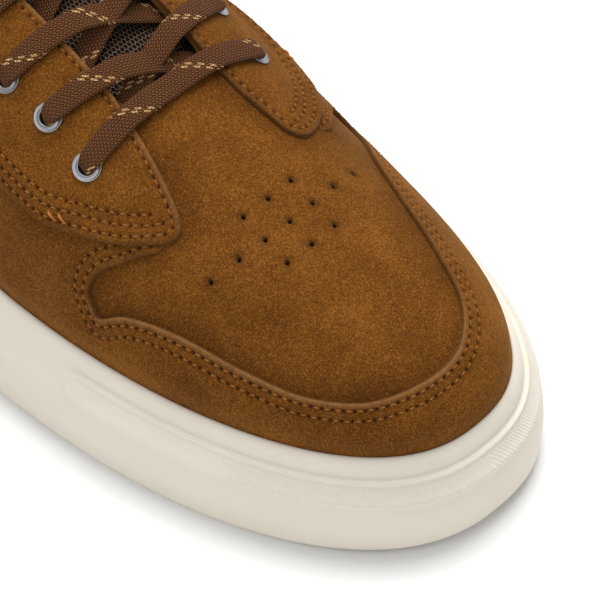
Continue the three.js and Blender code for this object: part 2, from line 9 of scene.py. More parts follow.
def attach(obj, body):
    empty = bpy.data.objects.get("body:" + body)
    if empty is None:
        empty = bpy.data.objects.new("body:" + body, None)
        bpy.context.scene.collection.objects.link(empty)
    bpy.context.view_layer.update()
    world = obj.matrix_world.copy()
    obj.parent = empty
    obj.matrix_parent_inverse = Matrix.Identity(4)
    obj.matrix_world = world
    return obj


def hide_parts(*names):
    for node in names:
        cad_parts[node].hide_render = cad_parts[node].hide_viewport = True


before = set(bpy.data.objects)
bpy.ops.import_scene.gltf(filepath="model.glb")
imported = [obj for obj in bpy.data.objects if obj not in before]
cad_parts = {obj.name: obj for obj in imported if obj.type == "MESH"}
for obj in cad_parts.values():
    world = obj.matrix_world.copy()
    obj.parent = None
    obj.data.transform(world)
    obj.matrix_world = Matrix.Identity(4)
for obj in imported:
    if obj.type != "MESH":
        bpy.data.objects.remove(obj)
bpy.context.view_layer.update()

# Studio
# A white table under a wide soft light from behind the toe, with the camera looking down on the toe
# from the lateral side. Lengths in this file are millimetres, and become metres as a mesh is made.
MM = 0.001
camera_azimuth = math.radians(43.5)
camera_elevation = math.radians(50)
camera_roll = math.radians(-1.9)
camera_distance = 1100
camera_target = Vector((1.95, -82.95, 30))
camera_lens = 264.66
table_size = 6000
key_light_place = Vector((380, 290, 1200))
key_light_size = 1050
key_light_power = 18.6
side_light_place = Vector((-700, -200, 800))
side_light_size = 700
side_light_power = 2.5
sky_strength = 0.49
table_white = (0.93, 0.93, 0.93, 1)


def node(tree, kind, inputs=None, **settings):
    made = tree.nodes.new(kind)
    for key, value in settings.items():
        setattr(made, key, value)
    for socket, value in (inputs or {}).items():
        if isinstance(value, bpy.types.NodeSocket):
            tree.links.new(value, made.inputs[socket])
        else:
            made.inputs[socket].default_value = value
    return made


def new_material(name):
    material = bpy.data.materials.new(name)
    material.use_nodes = True
    tree = material.node_tree
    tree.nodes.clear()
    surface = node(tree, "ShaderNodeBsdfPrincipled")
    node(tree, "ShaderNodeOutputMaterial", {"Surface": surface.outputs[0]})
    return material, tree, surface


def soft_light(name, place, size, power):
    lamp = bpy.data.lights.new(name, "AREA")
    lamp.shape = "DISK"
    lamp.size = size * MM
    lamp.energy = power
    thing = bpy.data.objects.new(name, lamp)
    bpy.context.scene.collection.objects.link(thing)
    thing.location = (camera_target + place) * MM
    thing.rotation_euler = place.to_track_quat("Z", "Y").to_euler()


back = Vector((
    -math.sin(camera_azimuth) * math.cos(camera_elevation),
    -math.cos(camera_azimuth) * math.cos(camera_elevation),
    math.sin(camera_elevation),
))
level_right = Vector((math.cos(camera_azimuth), -math.sin(camera_azimuth), 0))
level_up = back.cross(level_right)
right = level_right * math.cos(camera_roll) + level_up * math.sin(camera_roll)
up = level_up * math.cos(camera_roll) - level_right * math.sin(camera_roll)
camera = bpy.data.objects.new("camera", bpy.data.cameras.new("camera"))
bpy.context.scene.collection.objects.link(camera)
camera.data.lens = camera_lens
stand = (camera_target + back * camera_distance) * MM
camera.matrix_world = Matrix((right, up, back)).transposed().to_4x4()
camera.location = stand
bpy.context.scene.camera = camera

soft_light("key_light", key_light_place, key_light_size, key_light_power)
soft_light("side_light", side_light_place, side_light_size, side_light_power)
sky = bpy.data.worlds.new("studio")
sky.use_nodes = True
sky.node_tree.nodes["Background"].inputs["Color"].default_value = (1, 1, 1, 1)
sky.node_tree.nodes["Background"].inputs["Strength"].default_value = sky_strength
bpy.context.scene.world = sky
bpy.context.scene.view_settings.view_transform = "Standard"

table_mesh = bpy.data.meshes.new("table")
reach = table_size / 2 * MM
table_corners = [(-reach, -reach, 0), (reach, -reach, 0), (reach, reach, 0), (-reach, reach, 0)]
table_mesh.from_pydata(table_corners, [], [(0, 1, 2, 3)])
table = bpy.data.objects.new("table", table_mesh)
bpy.context.scene.collection.objects.link(table)
table_finish, tree, surface = new_material("white_table")
surface.inputs["Base Color"].default_value = table_white
surface.inputs["Roughness"].default_value = 0.9
table_mesh.materials.append(table_finish)

# Cupsole
# One moulded cream rubber cup: a smooth lower wall, a ribbed bumper band around the toe under a fine
# bead, a pebbled foxing wall above it, and grooves in the tread. The upper is glued into the cup.
sole_length = 300
ball_width = 112
heel_width = 86
toe_tip_shift = 2.7
wall_height = 31
edge_bevel = 2.4
toe_spring = 3
spring_length = 75
forefoot_floor = 11
heel_floor = 17
floor_rise_from = 0.3
floor_rise_over = 0.45
cup_inset = 7.85
cup_step = 6
spring_fade_height = 17.4
bumper_thickness = 1.0
bumper_lateral_end = 0.313
bumper_medial_end = 0.32
bumper_end_length = 0.9
rib_pitch = 0.85
rib_lean = 0.62
rib_start_y = -98
rib_fade = 9
rib_end = 0.27
rib_height = 0.08
tread_pitch = 14
tread_width = 3
tread_depth = 2
tread_border = 13
tread_wave = 1.6
tread_wave_length = 17
tread_soft = 0.7
tread_border_soft = 1.5
tread_from = 0.09
tread_to = 0.94
arch_from = 0.5
arch_to = 0.66
toe_y = -sole_length / 2
heel_y = sole_length / 2
lateral = {"side": -1, "ball_at": 0.387, "waist_at": 0.633, "waist": 0.411, "spread": 2.04, "round": 2.18}
medial = {"side": 1, "ball_at": 0.375, "waist_at": 0.633, "waist": 0.375, "spread": 2.14, "round": 2.54}
heel_at = 0.843
heel_round = 2.2
rubber_cream = (0.76, 0.71, 0.615, 1)
rubber_shade = (0.71, 0.65, 0.545, 1)
pebble_height = 0.3
foxing_from = 25.6
foxing_full = 26.8
ribs_low = (16.5, 20.2)
ribs_high = (24.6, 24.2)

# Wall of the sole from the bottom edge to the rim, as rows of height, inset and how much of the
# bumper's thickness the row has: a rounded ridge below, a hollow band, and a bead above it.
wall_rows = [
    (5.0, -0.1, 0.0),
    (8.0, -0.25, 0.0),
    (11.0, -0.3, 0.0),
    (14.0, -0.15, 0.0),
    (16.0, 0.15, 0.0),
    (17.2, 0.42, 0.0),
    (18.0, 0.68, 0.03),
    (18.6, 0.9, 0.2),
    (19.1, 1.15, 0.5),
    (19.5, 1.37, 0.86),
    (19.9, 1.6, 1.12),
    (20.3, 1.84, 1.27),
    (20.7, 2.07, 1.24),
    (21.1, 2.3, 1.05),
    (21.6, 2.6, 0.86),
    (22.2, 2.93, 0.77),
    (22.9, 3.32, 0.74),
    (23.5, 3.66, 0.7),
    (24.0, 3.95, 0.68),
    (24.4, 4.17, 0.72),
    (24.65, 4.3, 0.88),
    (24.85, 4.41, 1.06),
    (25.05, 4.52, 1.1),
    (25.2, 4.6, 0.95),
    (25.3, 4.65, 0.5),
    (25.38, 4.7, 0.0),
    (25.6, 4.79, -0.08),
    (26.1, 4.92, -0.05),
    (27.0, 5.1, 0.0),
    (28.0, 5.36, 0.0),
    (29.0, 5.7, 0.0),
    (29.8, 6.08, 0.0),
    (30.4, 6.5, 0.0),
    (30.8, 6.95, 0.0),
    (31.0, 7.4, 0.0),
    (30.9, 7.75, 0.0),
    (30.4, 7.85, 0.0),
]
bevel_steps = 5
fine_stations = 250
fine_until = math.radians(76)
coarse_stations = 14
middle_stations = 125
heel_stations = 44
tread_columns = 30
cup_columns = 8


def smooth(value):
    t = np.clip(value, 0, 1)
    return t * t * (3 - 2 * t)


def length_at(share):
    return toe_y + share * sole_length


def half_width(plan, y, inset):
    """Distance from the middle plane to the sole's outline on one side, drawn in by an inset."""
    y = np.asarray(y, float)
    tip = toe_tip_shift * plan["side"]
    ball = ball_width / 2 - inset
    waist = plan["waist"] * ball_width - inset
    heel = heel_width / 2 - inset
    ball_y = length_at(plan["ball_at"])
    waist_y = length_at(plan["waist_at"])
    back_y = length_at(heel_at)
    toe_t = np.clip((ball_y - y) / (ball_y - toe_y - inset), 0, 1)
    toe = tip + (ball - tip) * (1 - toe_t ** plan["spread"]) ** (1 / plan["round"])
    front = ball + (waist - ball) * smooth((y - ball_y) / (waist_y - ball_y))
    rear = waist + (heel - waist) * smooth((y - waist_y) / (back_y - waist_y))
    heel_t = np.clip((y - back_y) / (heel_y - inset - back_y), 0, 1)
    end = heel * (1 - heel_t ** heel_round) ** (1 / heel_round)
    return np.where(y < ball_y, toe, np.where(y < waist_y, front, np.where(y < back_y, rear, end)))


def station_rows(inset, toe_angles, middle_shares, heel_angles):
    ball_y = length_at(lateral["ball_at"])
    back_y = length_at(heel_at)
    toe = ball_y - (ball_y - toe_y - inset) * np.cos(toe_angles)
    between = ball_y + (back_y - ball_y) * middle_shares
    heel = back_y + (heel_y - inset - back_y) * np.sin(heel_angles)
    return np.concatenate([toe, between, heel])


def both_sides(plan_y, inset):
    """Loop of an outline: down the lateral side from toe to heel and back up the medial side."""
    y = np.concatenate([plan_y, plan_y[::-1]])
    x = np.concatenate([-half_width(lateral, plan_y, inset), half_width(medial, plan_y, inset)[::-1]])
    return x, y


def underside_at(y):
    return toe_spring * np.clip((toe_y + spring_length - y) / spring_length, 0, 1) ** 2


def floor_at(y):
    rise = smooth((y - length_at(floor_rise_from)) / (sole_length * floor_rise_over))
    return forefoot_floor + (heel_floor - forefoot_floor) * rise


def ring_faces(rings, count, first=0):
    base = first + np.arange(rings - 1)[:, None] * count
    here = np.arange(count)[None, :]
    ahead = (here + 1) % count
    corners = [base + here, base + ahead, base + ahead + count, base + here + count]
    return np.stack(corners, -1).reshape(-1, 4)


def across(loop, columns, height):
    """Points of the rungs that run from side to side of a loop, at the height that is given."""
    rungs = len(loop) // 2
    near, far = loop[:rungs], loop[rungs:][::-1]
    share = (np.arange(1, columns) / columns)[None, :, None]
    inner = near[:, None] * (1 - share) + far[:, None] * share
    inner[..., 2] = height(inner[..., 0], inner[..., 1], inner[..., 2])
    return inner.reshape(-1, 3)


def rung_faces(first_loop, first_inner, rungs, columns):
    index = np.empty((rungs, columns + 1), int)
    index[:, 0] = first_loop + np.arange(rungs)
    index[:, -1] = first_loop + 2 * rungs - 1 - np.arange(rungs)
    index[:, 1:-1] = first_inner + np.arange(rungs * (columns - 1)).reshape(rungs, columns - 1)
    corners = [index[:-1, :-1], index[:-1, 1:], index[1:, 1:], index[1:, :-1]]
    return np.stack(corners, -1).reshape(-1, 4)


def facing_out(points, faces):
    """The same closed faces, turned round where their signed volume is negative."""
    volume = 0.0
    for face in faces:
        for k in range(1, face.shape[1] - 1):
            a, b, c = points[face[:, 0]], points[face[:, k]], points[face[:, k + 1]]
            volume += np.einsum("ij,ij->i", a, np.cross(b, c)).sum()
    return faces if volume > 0 else [face[:, ::-1] for face in faces]


def make_piece(name, points, faces, material):
    """A smooth-shaded mesh object from points in millimetres and arrays of faces."""
    faces = facing_out(points, [np.asarray(face) for face in faces])
    mesh = bpy.data.meshes.new(name)
    mesh.from_pydata((points * MM).tolist(), [], [corner for face in faces for corner in face.tolist()])
    mesh.polygons.foreach_set("use_smooth", np.ones(len(mesh.polygons), bool))
    mesh.materials.append(material)
    mesh.validate()
    thing = bpy.data.objects.new(name, mesh)
    bpy.context.scene.collection.objects.link(thing)
    return thing


toe_angles = np.concatenate([
    np.linspace(0, fine_until, fine_stations, endpoint=False),
    np.linspace(fine_until, math.pi / 2, coarse_stations),
])
middle_shares = np.arange(1, middle_stations) / middle_stations
heel_angles = np.linspace(0, math.pi / 2, heel_stations)


def sole_wall():
    start = station_rows(0, toe_angles, middle_shares, heel_angles)
    x, y = both_sides(start, 0)
    on_medial = np.arange(len(x)) >= len(start)
    end_y = np.where(on_medial, length_at(bumper_medial_end), length_at(bumper_lateral_end))
    band = smooth((end_y - y) / bumper_end_length + 0.5)
    loops = []
    for k in range(bevel_steps + 1):
        turn = k / bevel_steps * math.pi / 2
        inset = edge_bevel * (1 - math.sin(turn))
        x, y = both_sides(station_rows(inset, toe_angles, middle_shares, heel_angles), inset)
        loops.append(np.stack([x, y, underside_at(y) + edge_bevel * (1 - math.cos(turn))], 1))
    for height, inset, bumper in wall_rows:
        out = band * bumper_thickness * bumper
        row_y = station_rows(inset, toe_angles, middle_shares, heel_angles)
        x, y = both_sides(row_y, inset)
        away_rows = station_rows(inset - 1, toe_angles, middle_shares, heel_angles)
        away_x, away_y = both_sides(away_rows, inset - 1)
        low = underside_at(y) * np.clip(1 - height / spring_fade_height, 0, 1)
        loops.append(np.stack([x + (away_x - x) * out, y + (away_y - y) * out, height + low], 1))
    for height in (wall_height - cup_step, None):
        x, y = both_sides(station_rows(cup_inset, toe_angles, middle_shares, heel_angles), cup_inset)
        z = floor_at(y) if height is None else np.full(len(x), float(height))
        loops.append(np.stack([x, y, z], 1))
    half = len(start)
    step = np.hypot(np.diff(x[:half]), np.diff(y[:half]))
    run = np.concatenate([[0], np.cumsum(step)])
    ribbed = smooth((length_at(rib_end) - y) / rib_fade)
    ribbed[:half] *= smooth((rib_start_y - y[:half]) / rib_fade + 0.5)
    return np.array(loops), np.concatenate([-run, run[::-1]]), ribbed


def tread(x, y, z):
    """Height of the underside: wavy grooves across it, none near its edge or under the arch."""
    first, last = length_at(tread_from), length_at(tread_to)
    wave = tread_wave * np.sin(2 * math.pi * x / tread_wave_length)
    place = (y + wave - first) / tread_pitch
    distance = np.abs(place - np.round(place)) * tread_pitch
    groove = smooth((tread_width / 2 - distance) / tread_soft + 0.5)
    wide = np.minimum(x + half_width(lateral, y, 0), half_width(medial, y, 0) - x)
    within = smooth((wide - tread_border) / tread_border_soft)
    arch = smooth((y - length_at(arch_from)) / 2) * smooth((length_at(arch_to) - y) / 2)
    ends = smooth((y - first + tread_pitch / 2) / 2) * smooth((last - y) / 2)
    return underside_at(y) + tread_depth * groove * within * (1 - arch) * ends


loops, around, ribbed = sole_wall()
count = loops.shape[1]
rungs = count // 2
under = across(loops[0], tread_columns, tread)
cup = across(loops[-1], cup_columns, lambda x, y, z: floor_at(y))
points = np.concatenate([loops.reshape(-1, 3), under, cup])
last_loop = (len(loops) - 1) * count
first_under = len(loops) * count
wall_faces = ring_faces(len(loops), count)
under_faces = rung_faces(0, first_under, rungs, tread_columns)[:, ::-1]
cup_faces = rung_faces(last_loop, first_under + len(under), rungs, cup_columns)


def join_tips(points, faces):
    """Merges the points where both sides of a loop meet at the toe and the heel."""
    keys = np.round(points, 4)
    unique, inverse = np.unique(keys, axis=0, return_inverse=True)
    merged = [inverse.ravel()[face] for face in faces]
    quads, triangles = [], []
    for face in merged:
        same = face == np.roll(face, -1, axis=1)
        clean = ~same.any(axis=1)
        quads.append(face[clean])
        for row in face[~clean]:
            corners = list(dict.fromkeys(row.tolist()))
            if len(corners) == 3:
                triangles.append(corners)
    result = [np.concatenate(quads)]
    if triangles:
        result.append(np.array(triangles))
    first = np.zeros(len(unique), int)
    first[inverse.ravel()] = np.arange(len(points))
    return unique, result, first


def formula(tree, operation, *values, **settings):
    """Result of one sum in a material."""
    return node(tree, "ShaderNodeMath", dict(enumerate(values)), operation=operation, **settings).outputs[0]


def blend(tree, share, first, second):
    """A colour between two colours."""
    return node(tree, "ShaderNodeMix", {0: share, 6: first, 7: second}, data_type="RGBA").outputs[2]


def noise(tree, place, scale, detail, **more):
    inputs = {"Vector": place, "Scale": scale, "Detail": detail, **more}
    return node(tree, "ShaderNodeTexNoise", inputs).outputs["Fac"]


def remap(tree, value, span, result=(0.0, 1.0), **settings):
    """A value over a span, taken to the same place between two results."""
    return node(tree, "ShaderNodeMapRange", {
        "Value": value, "From Min": span[0], "From Max": span[1], "To Min": result[0], "To Max": result[1],
    }, **settings).outputs[0]


def object_place(tree):
    return node(tree, "ShaderNodeTexCoord").outputs["Object"]


rubber, tree, surface = new_material("cream_rubber")
place = object_place(tree)
tone = blend(tree, noise(tree, place, 45.0, 3.0), rubber_shade, rubber_cream)
tree.links.new(tone, surface.inputs["Base Color"])
height = node(tree, "ShaderNodeSeparateXYZ", {"Vector": place}).outputs["Z"]
foxing = remap(tree, height, (foxing_from * MM, foxing_full * MM))
pebbled = formula(tree, "MULTIPLY", noise(tree, place, 520.0, 2.0), foxing)
relief = formula(tree, "MULTIPLY_ADD", noise(tree, place, 2600.0, 1.0), 0.12, pebbled)
bump = node(tree, "ShaderNodeBump", {"Height": relief, "Strength": 0.6, "Distance": pebble_height * MM})
ribs = node(tree, "ShaderNodeAttribute", attribute_name="ribs")
rib_parts = node(tree, "ShaderNodeSeparateXYZ", {0: ribs.outputs["Vector"]})
leaned = formula(tree, "MULTIPLY_ADD", height, rib_lean / MM, rib_parts.outputs["X"])
wave = formula(tree, "COSINE", formula(tree, "MULTIPLY", leaned, 2 * math.pi / rib_pitch))
band_low = remap(tree, height, [level * MM for level in ribs_low], interpolation_type="SMOOTHSTEP")
band_high = remap(tree, height, [level * MM for level in ribs_high], interpolation_type="SMOOTHSTEP")
band = formula(tree, "MULTIPLY", formula(tree, "MULTIPLY", band_low, band_high), rib_parts.outputs["Y"])
rib_bump = node(tree, "ShaderNodeBump", {
    "Height": formula(tree, "MULTIPLY", wave, band), "Strength": 0.7, "Distance": rib_height * MM,
    "Normal": bump.outputs[0],
})
tree.links.new(rib_bump.outputs[0], surface.inputs["Normal"])
surface.inputs["Roughness"].default_value = 0.58
surface.inputs["Specular IOR Level"].default_value = 0.35

rib_map = np.zeros((len(points), 3))
rib_map[:last_loop, 0] = np.tile(around, len(loops) - 1)
rib_map[:last_loop, 1] = np.tile(ribbed, len(loops) - 1)
points, faces, first = join_tips(points, [wall_faces, under_faces, cup_faces])
sole = make_piece("cupsole", points, faces, rubber)
rib_layer = sole.data.attributes.new("ribs", "FLOAT_VECTOR", "POINT")
rib_layer.data.foreach_set("vector", rib_map[first].ravel())
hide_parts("sole")
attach(sole, "root")

# Insole
# A foam footbed with a knitted cover. It lies loose on the floor of the cup, dished a little under
# the heel, with its edge rounded against the wall.
insole_inset = 10.3
insole_thickness = 4.5
insole_gap = 0.3
insole_dish = 1.2
insole_round = 1.4
insole_columns = 22
insole_brown = (0.075, 0.05, 0.036, 1)
insole_thread = (0.16, 0.115, 0.08, 1)
insole_toe = np.linspace(0, math.pi / 2, 60)
insole_middle = np.arange(1, 60) / 60
insole_heel = np.linspace(0, math.pi / 2, 36)


def insole_loop(inset, lift):
    x, y = both_sides(station_rows(inset, insole_toe, insole_middle, insole_heel), inset)
    return np.stack([x, y, floor_at(y) + insole_gap + lift], 1)


def insole_top(x, y, z):
    wide = (half_width(lateral, y, insole_inset) + half_width(medial, y, insole_inset)) / 2
    middle = (half_width(medial, y, insole_inset) - half_width(lateral, y, insole_inset)) / 2
    share = np.clip(np.abs(x - middle) / np.maximum(wide, 1), 0, 1)
    heel = smooth((y - length_at(0.55)) / 60)
    return floor_at(y) + insole_gap + insole_thickness - insole_dish * (0.3 + 0.7 * heel) * (1 - share ** 2)


insole_loops = [insole_loop(insole_inset, 0)]
for k in range(5):
    turn = k / 4 * math.pi / 2
    inset = insole_inset + insole_round * (1 - math.cos(turn))
    lift = insole_thickness - insole_round + insole_round * math.sin(turn)
    insole_loops.append(insole_loop(inset, lift))
loops = np.array(insole_loops)
count = loops.shape[1]
under = across(loops[0], 2, lambda x, y, z: floor_at(y) + insole_gap)
cover = across(loops[-1], insole_columns, insole_top)
points = np.concatenate([loops.reshape(-1, 3), under, cover])
first_under = len(loops) * count
faces = [
    ring_faces(len(loops), count),
    rung_faces(0, first_under, count // 2, 2)[:, ::-1],
    rung_faces((len(loops) - 1) * count, first_under + len(under), count // 2, insole_columns),
]

knit, tree, surface = new_material("knitted_cover")
place = object_place(tree)
waves = {"Vector": place, "Scale": 260.0, "Distortion": 1.5}
wale, course = [node(tree, "ShaderNodeTexWave", waves, bands_direction=way) for way in ("X", "Y")]
weave = formula(tree, "MULTIPLY", wale.outputs["Fac"], course.outputs["Fac"])
tone = blend(tree, weave, insole_brown, insole_thread)
bump = node(tree, "ShaderNodeBump", {"Height": weave, "Strength": 0.6, "Distance": 0.0003})
tree.links.new(tone, surface.inputs["Base Color"])
tree.links.new(bump.outputs[0], surface.inputs["Normal"])
surface.inputs["Roughness"].default_value = 0.92
surface.inputs["Sheen Weight"].default_value = 0.2

points, faces, _ = join_tips(points, faces)
insole = make_piece("footbed", points, faces, knit)
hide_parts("insole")
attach(insole, "root")

# Upper
# One shell of brushed brown suede, 2 mm thick, stretched over the last and glued into the cup. It is
# open at the throat and the collar, and thirteen small vent holes are punched in the vamp.
clearance = 0.3
upper_wall = 2
upper_inset = 8.0
instep_height = 110
back_height = 90
heel_swell = 2.5
heel_swell_height = 52
throat_width = 28
throat_corner = 9
throat_at = 0.357
toe_box_at = 0.183
back_curve_at = 0.85
lining_front_y = length_at(0.64)
eyestay_end_y = length_at(0.7)
vent_centre = (-1.4, -83.8)
vent_pitch = 8.2
vent_row_pitch = 7.5
vent_bow = 0.3
vent_rows = ((3, 1), (7, 0), (3, -1))
vent_radius = 0.55
upper_spacing = 1.45
stitch_pitch = 2.7
stitch_groove = 0.24
groove_width = 0.6
needle_depth = 0.55
needle_radius = 0.38
collar_row_below = 2.6
row_above_rim = 2.5
edge_shade = 0.6
edge_shade_width = 4.5
suede_deep = (0.058, 0.018, 0.002, 1)
suede_mid = (0.122, 0.041, 0.0046, 1)
suede_light = (0.235, 0.09, 0.014, 1)
suede_raw = (0.235, 0.115, 0.042, 1)
# Dark brown painted as shade in needle holes, on vent hole walls and on shaded cut edges.
deep_shade_brown = (0.018, 0.007, 0.003, 1)
suede_sheen = (1.0, 0.5, 0.12, 1)
suede_grain = 2300.0
suede_fuzz = 0.16
lining_brown = (0.11, 0.075, 0.052, 1)
lining_dark = (0.03, 0.02, 0.014, 1)

# Crown of the form along the foot: place, rise as a share of the instep's, and the exponents of the
# section on the lateral side and on the medial side.
crown = np.array([
    (0.027, 0.291, 2.5, 2.0, 2.5, 1.3),
    (0.1, 0.32, 2.5, 2.0, 2.5, 1.25),
    (0.167, 0.354, 2.5, 1.9, 2.5, 1.2),
    (0.223, 0.415, 2.5, 1.9, 2.4, 1.2),
    (0.3, 0.519, 2.4, 1.8, 2.3, 1.3),
    (0.367, 0.633, 2.3, 1.8, 2.2, 1.45),
    (0.433, 0.734, 2.2, 1.8, 2.2, 1.65),
    (0.5, 0.823, 2.2, 1.8, 2.2, 1.75),
    (0.567, 0.911, 2.2, 1.9, 2.2, 1.9),
    (0.65, 1.0, 2.3, 2.1, 2.3, 2.1),
    (0.72, 1.15, 2.4, 2.3, 2.4, 2.2),
    (0.8, 1.19, 2.4, 2.4, 2.4, 2.4),
    (0.973, 1.19, 2.4, 2.4, 2.4, 2.4),
])
RISE, LATERAL_SPREAD, LATERAL_ROUND, MEDIAL_SPREAD, MEDIAL_ROUND = range(1, 6)
topline = np.array([
    (0.64, 1.5), (0.655, 1.145), (0.693, 0.975), (0.75, 0.855), (0.81, 0.81),
    (0.873, 0.855), (0.933, 0.95), (0.97, 0.99), (1.03, 1.0),
])


def along(table, column, share):
    """Smooth curve without overshoot through one column of a table."""
    at, values = table[:, 0], table[:, column]
    steps = np.diff(at)
    slopes = np.diff(values) / steps
    before, after = slopes[:-1], slopes[1:]
    flat = before * after <= 0
    total = np.where(flat, 1, before + after)
    tangents = np.concatenate([[slopes[0]], np.where(flat, 0, 2 * before * after / total), [slopes[-1]]])
    share = np.clip(share, at[0], at[-1])
    i = np.clip(np.searchsorted(at, share, side="right") - 1, 0, len(steps) - 1)
    t = (share - at[i]) / steps[i]
    start = values[i] * (1 + 2 * t) + tangents[i] * steps[i] * t
    end = values[i + 1] * (3 - 2 * t) - tangents[i + 1] * steps[i] * (1 - t)
    return start * (1 - t) ** 2 + end * t * t


def crown_line(y, inset):
    return (half_width(medial, y, inset) - half_width(lateral, y, inset)) / 2


def form_height(x, y, offset):
    """Height of the upper's form, swollen by an offset, over points of the plan."""
    inset = upper_inset - offset
    share = (y - toe_y) / sole_length
    toe_box_y, back_curve_y = length_at(toe_box_at), length_at(back_curve_at)
    toe = np.clip((toe_box_y - y) / (toe_box_y - toe_y - inset), 0, 1)
    end = np.clip((y - back_curve_y) / (heel_y - inset - back_curve_y), 0, 1)
    closing = (1 - toe ** 2) ** (1 / 2.3) * (1 - end ** 2) ** (1 / 4)
    rise = (along(crown, RISE, share) * (instep_height - wall_height) + offset) * closing
    middle = crown_line(y, inset)
    on_lateral = x < middle
    to_lateral, to_medial = half_width(lateral, y, inset) + middle, half_width(medial, y, inset) - middle
    reach = np.where(on_lateral, to_lateral, to_medial)
    out = np.where(reach > 0, np.clip(np.abs(x - middle) / np.maximum(reach, 1e-6), 0, 1), 1)
    spread = np.where(on_lateral, along(crown, LATERAL_SPREAD, share), along(crown, MEDIAL_SPREAD, share))
    bend = np.where(on_lateral, along(crown, LATERAL_ROUND, share), along(crown, MEDIAL_ROUND, share))
    return wall_height + rise * (1 - out ** spread) ** (1 / bend)


def swell(points):
    """The back of the upper bulges a little over the sole before it draws in to the collar."""
    share = (points[:, 1] - toe_y) / sole_length
    level = np.clip((points[:, 2] - wall_height) / heel_swell_height, 0, 1)
    amount = heel_swell * np.sin(level * math.pi) * smooth((share - 0.72) / 0.28)
    away = np.stack([points[:, 0], np.maximum(0, points[:, 1] - length_at(0.83))], 1)
    length = np.maximum(np.hypot(*away.T), 1e-6)
    moved = points.copy()
    moved[:, :2] += away / length[:, None] * amount[:, None]
    return moved


# The upper's skin laid flat, as a pattern cutter has it: each point keeps its distance from the crown,
# measured over the skin, along a ray. Rays run straight across the foot, and fan out at toe and heel.
toe_hub_y = -98.0
heel_hub_y = 96.0
ray_step = 0.5
ray_first = toe_hub_y - 90
ray_last = heel_hub_y + 90
ray_list = np.arange(ray_first, ray_last + ray_step / 2, ray_step)
ray_samples = 160
offset_list = np.arange(-14.0, 4.0)


def hub_of(ray):
    y = np.clip(ray, toe_hub_y, heel_hub_y)
    return crown_line(y, upper_inset), y


def heading_of(ray, side):
    toe = np.radians(np.maximum(0, toe_hub_y - ray))
    heel = np.radians(np.maximum(0, ray - heel_hub_y))
    return side * np.cos(toe) * np.cos(heel), np.sin(heel) - np.sin(toe)


def ray_reach(ray, side, offset):
    """Distance in plan from the hub to the outline along each ray."""
    inset = upper_inset - offset
    hub_x, hub_y = hub_of(ray)
    run_x, run_y = heading_of(ray, side)
    low, high = np.zeros(len(ray)), np.full(len(ray), 90.0)
    for _ in range(42):
        middle = (low + high) / 2
        x, y = hub_x + run_x * middle, hub_y + run_y * middle
        within = (x > -half_width(lateral, y, inset)) & (x < half_width(medial, y, inset))
        within &= (y > toe_y + inset) & (y < heel_y - inset)
        low, high = np.where(within, middle, low), np.where(within, high, middle)
    return (low + high) / 2


def ray_tables(side):
    reach = np.stack([ray_reach(ray_list, side, offset) for offset in offset_list], 1)
    outer = ray_reach(ray_list, side, 0.0)
    share = np.sin(np.linspace(0, math.pi / 2, ray_samples))
    hub_x, hub_y = hub_of(ray_list)
    run_x, run_y = heading_of(ray_list, side)
    x = hub_x[:, None] + run_x[:, None] * outer[:, None] * share
    y = hub_y[:, None] + run_y[:, None] * outer[:, None] * share
    z = form_height(x, y, 0.0)
    steps = np.sqrt((outer[:, None] * np.diff(share)) ** 2 + np.diff(z, axis=1) ** 2)
    arc = np.concatenate([np.zeros((len(outer), 1)), np.cumsum(steps, 1)], 1)
    even = np.linspace(0, 1, ray_samples)
    share_of_arc = np.stack([np.interp(even, row / row[-1], share) for row in arc])
    arc_of_share = arc / arc[:, -1:]
    return {"reach": reach, "outer": outer, "arc": arc[:, -1], "share": share_of_arc, "run": arc_of_share}


rays = {-1: ray_tables(-1), 1: ray_tables(1)}


def look_up(table, first, second):
    """Value between the entries of a table at two fractional places."""
    i = np.clip(first.astype(int), 0, table.shape[0] - 2)
    j = np.clip(second.astype(int), 0, table.shape[1] - 2)
    s, t = first - i, second - j
    top = table[i, j] * (1 - t) + table[i, j + 1] * t
    return top * (1 - s) + (table[i + 1, j] * (1 - t) + table[i + 1, j + 1] * t) * s


def locate(points):
    """Side, ray and distance from the hub for points of a plane."""
    x, y = points[:, 0], points[:, 1]
    hub_y = np.clip(y, toe_hub_y, heel_hub_y)
    hub_x = crown_line(hub_y, upper_inset)
    side = np.where(x < hub_x, -1, 1)
    over = y - hub_y
    turn = np.degrees(np.arctan2(np.abs(over), np.abs(x - hub_x)))
    ray = hub_y + np.sign(over) * turn
    return side, ray, np.hypot(x - hub_x, over)


def by_side(side, values):
    return np.where(side < 0, values(rays[-1]), values(rays[1]))


def ray_place(ray):
    return (ray - ray_first) / ray_step


def skin_arc(side, ray):
    """Length of the skin from the crown down to the sole's rim."""
    return by_side(side, lambda table: np.interp(ray, ray_list, table["arc"]))


def lay_flat(plan, offset=0.0):
    """Points of the plan on the form at an offset, taken to the flat pattern."""
    plan = np.asarray(plan, float)
    side, ray, distance = locate(plan)
    place = np.full(len(plan), offset - offset_list[0])
    outer = by_side(side, lambda table: look_up(table["reach"], ray_place(ray), place))
    share = np.clip(distance / outer, 0, 1)
    place = np.arcsin(share) / (math.pi / 2) * (ray_samples - 1)
    run = by_side(side, lambda table: look_up(table["run"], ray_place(ray), place))
    hub = np.stack(hub_of(ray), 1)
    heading = np.stack(heading_of(ray, side), 1)
    return hub + heading * (run * skin_arc(side, ray))[:, None]


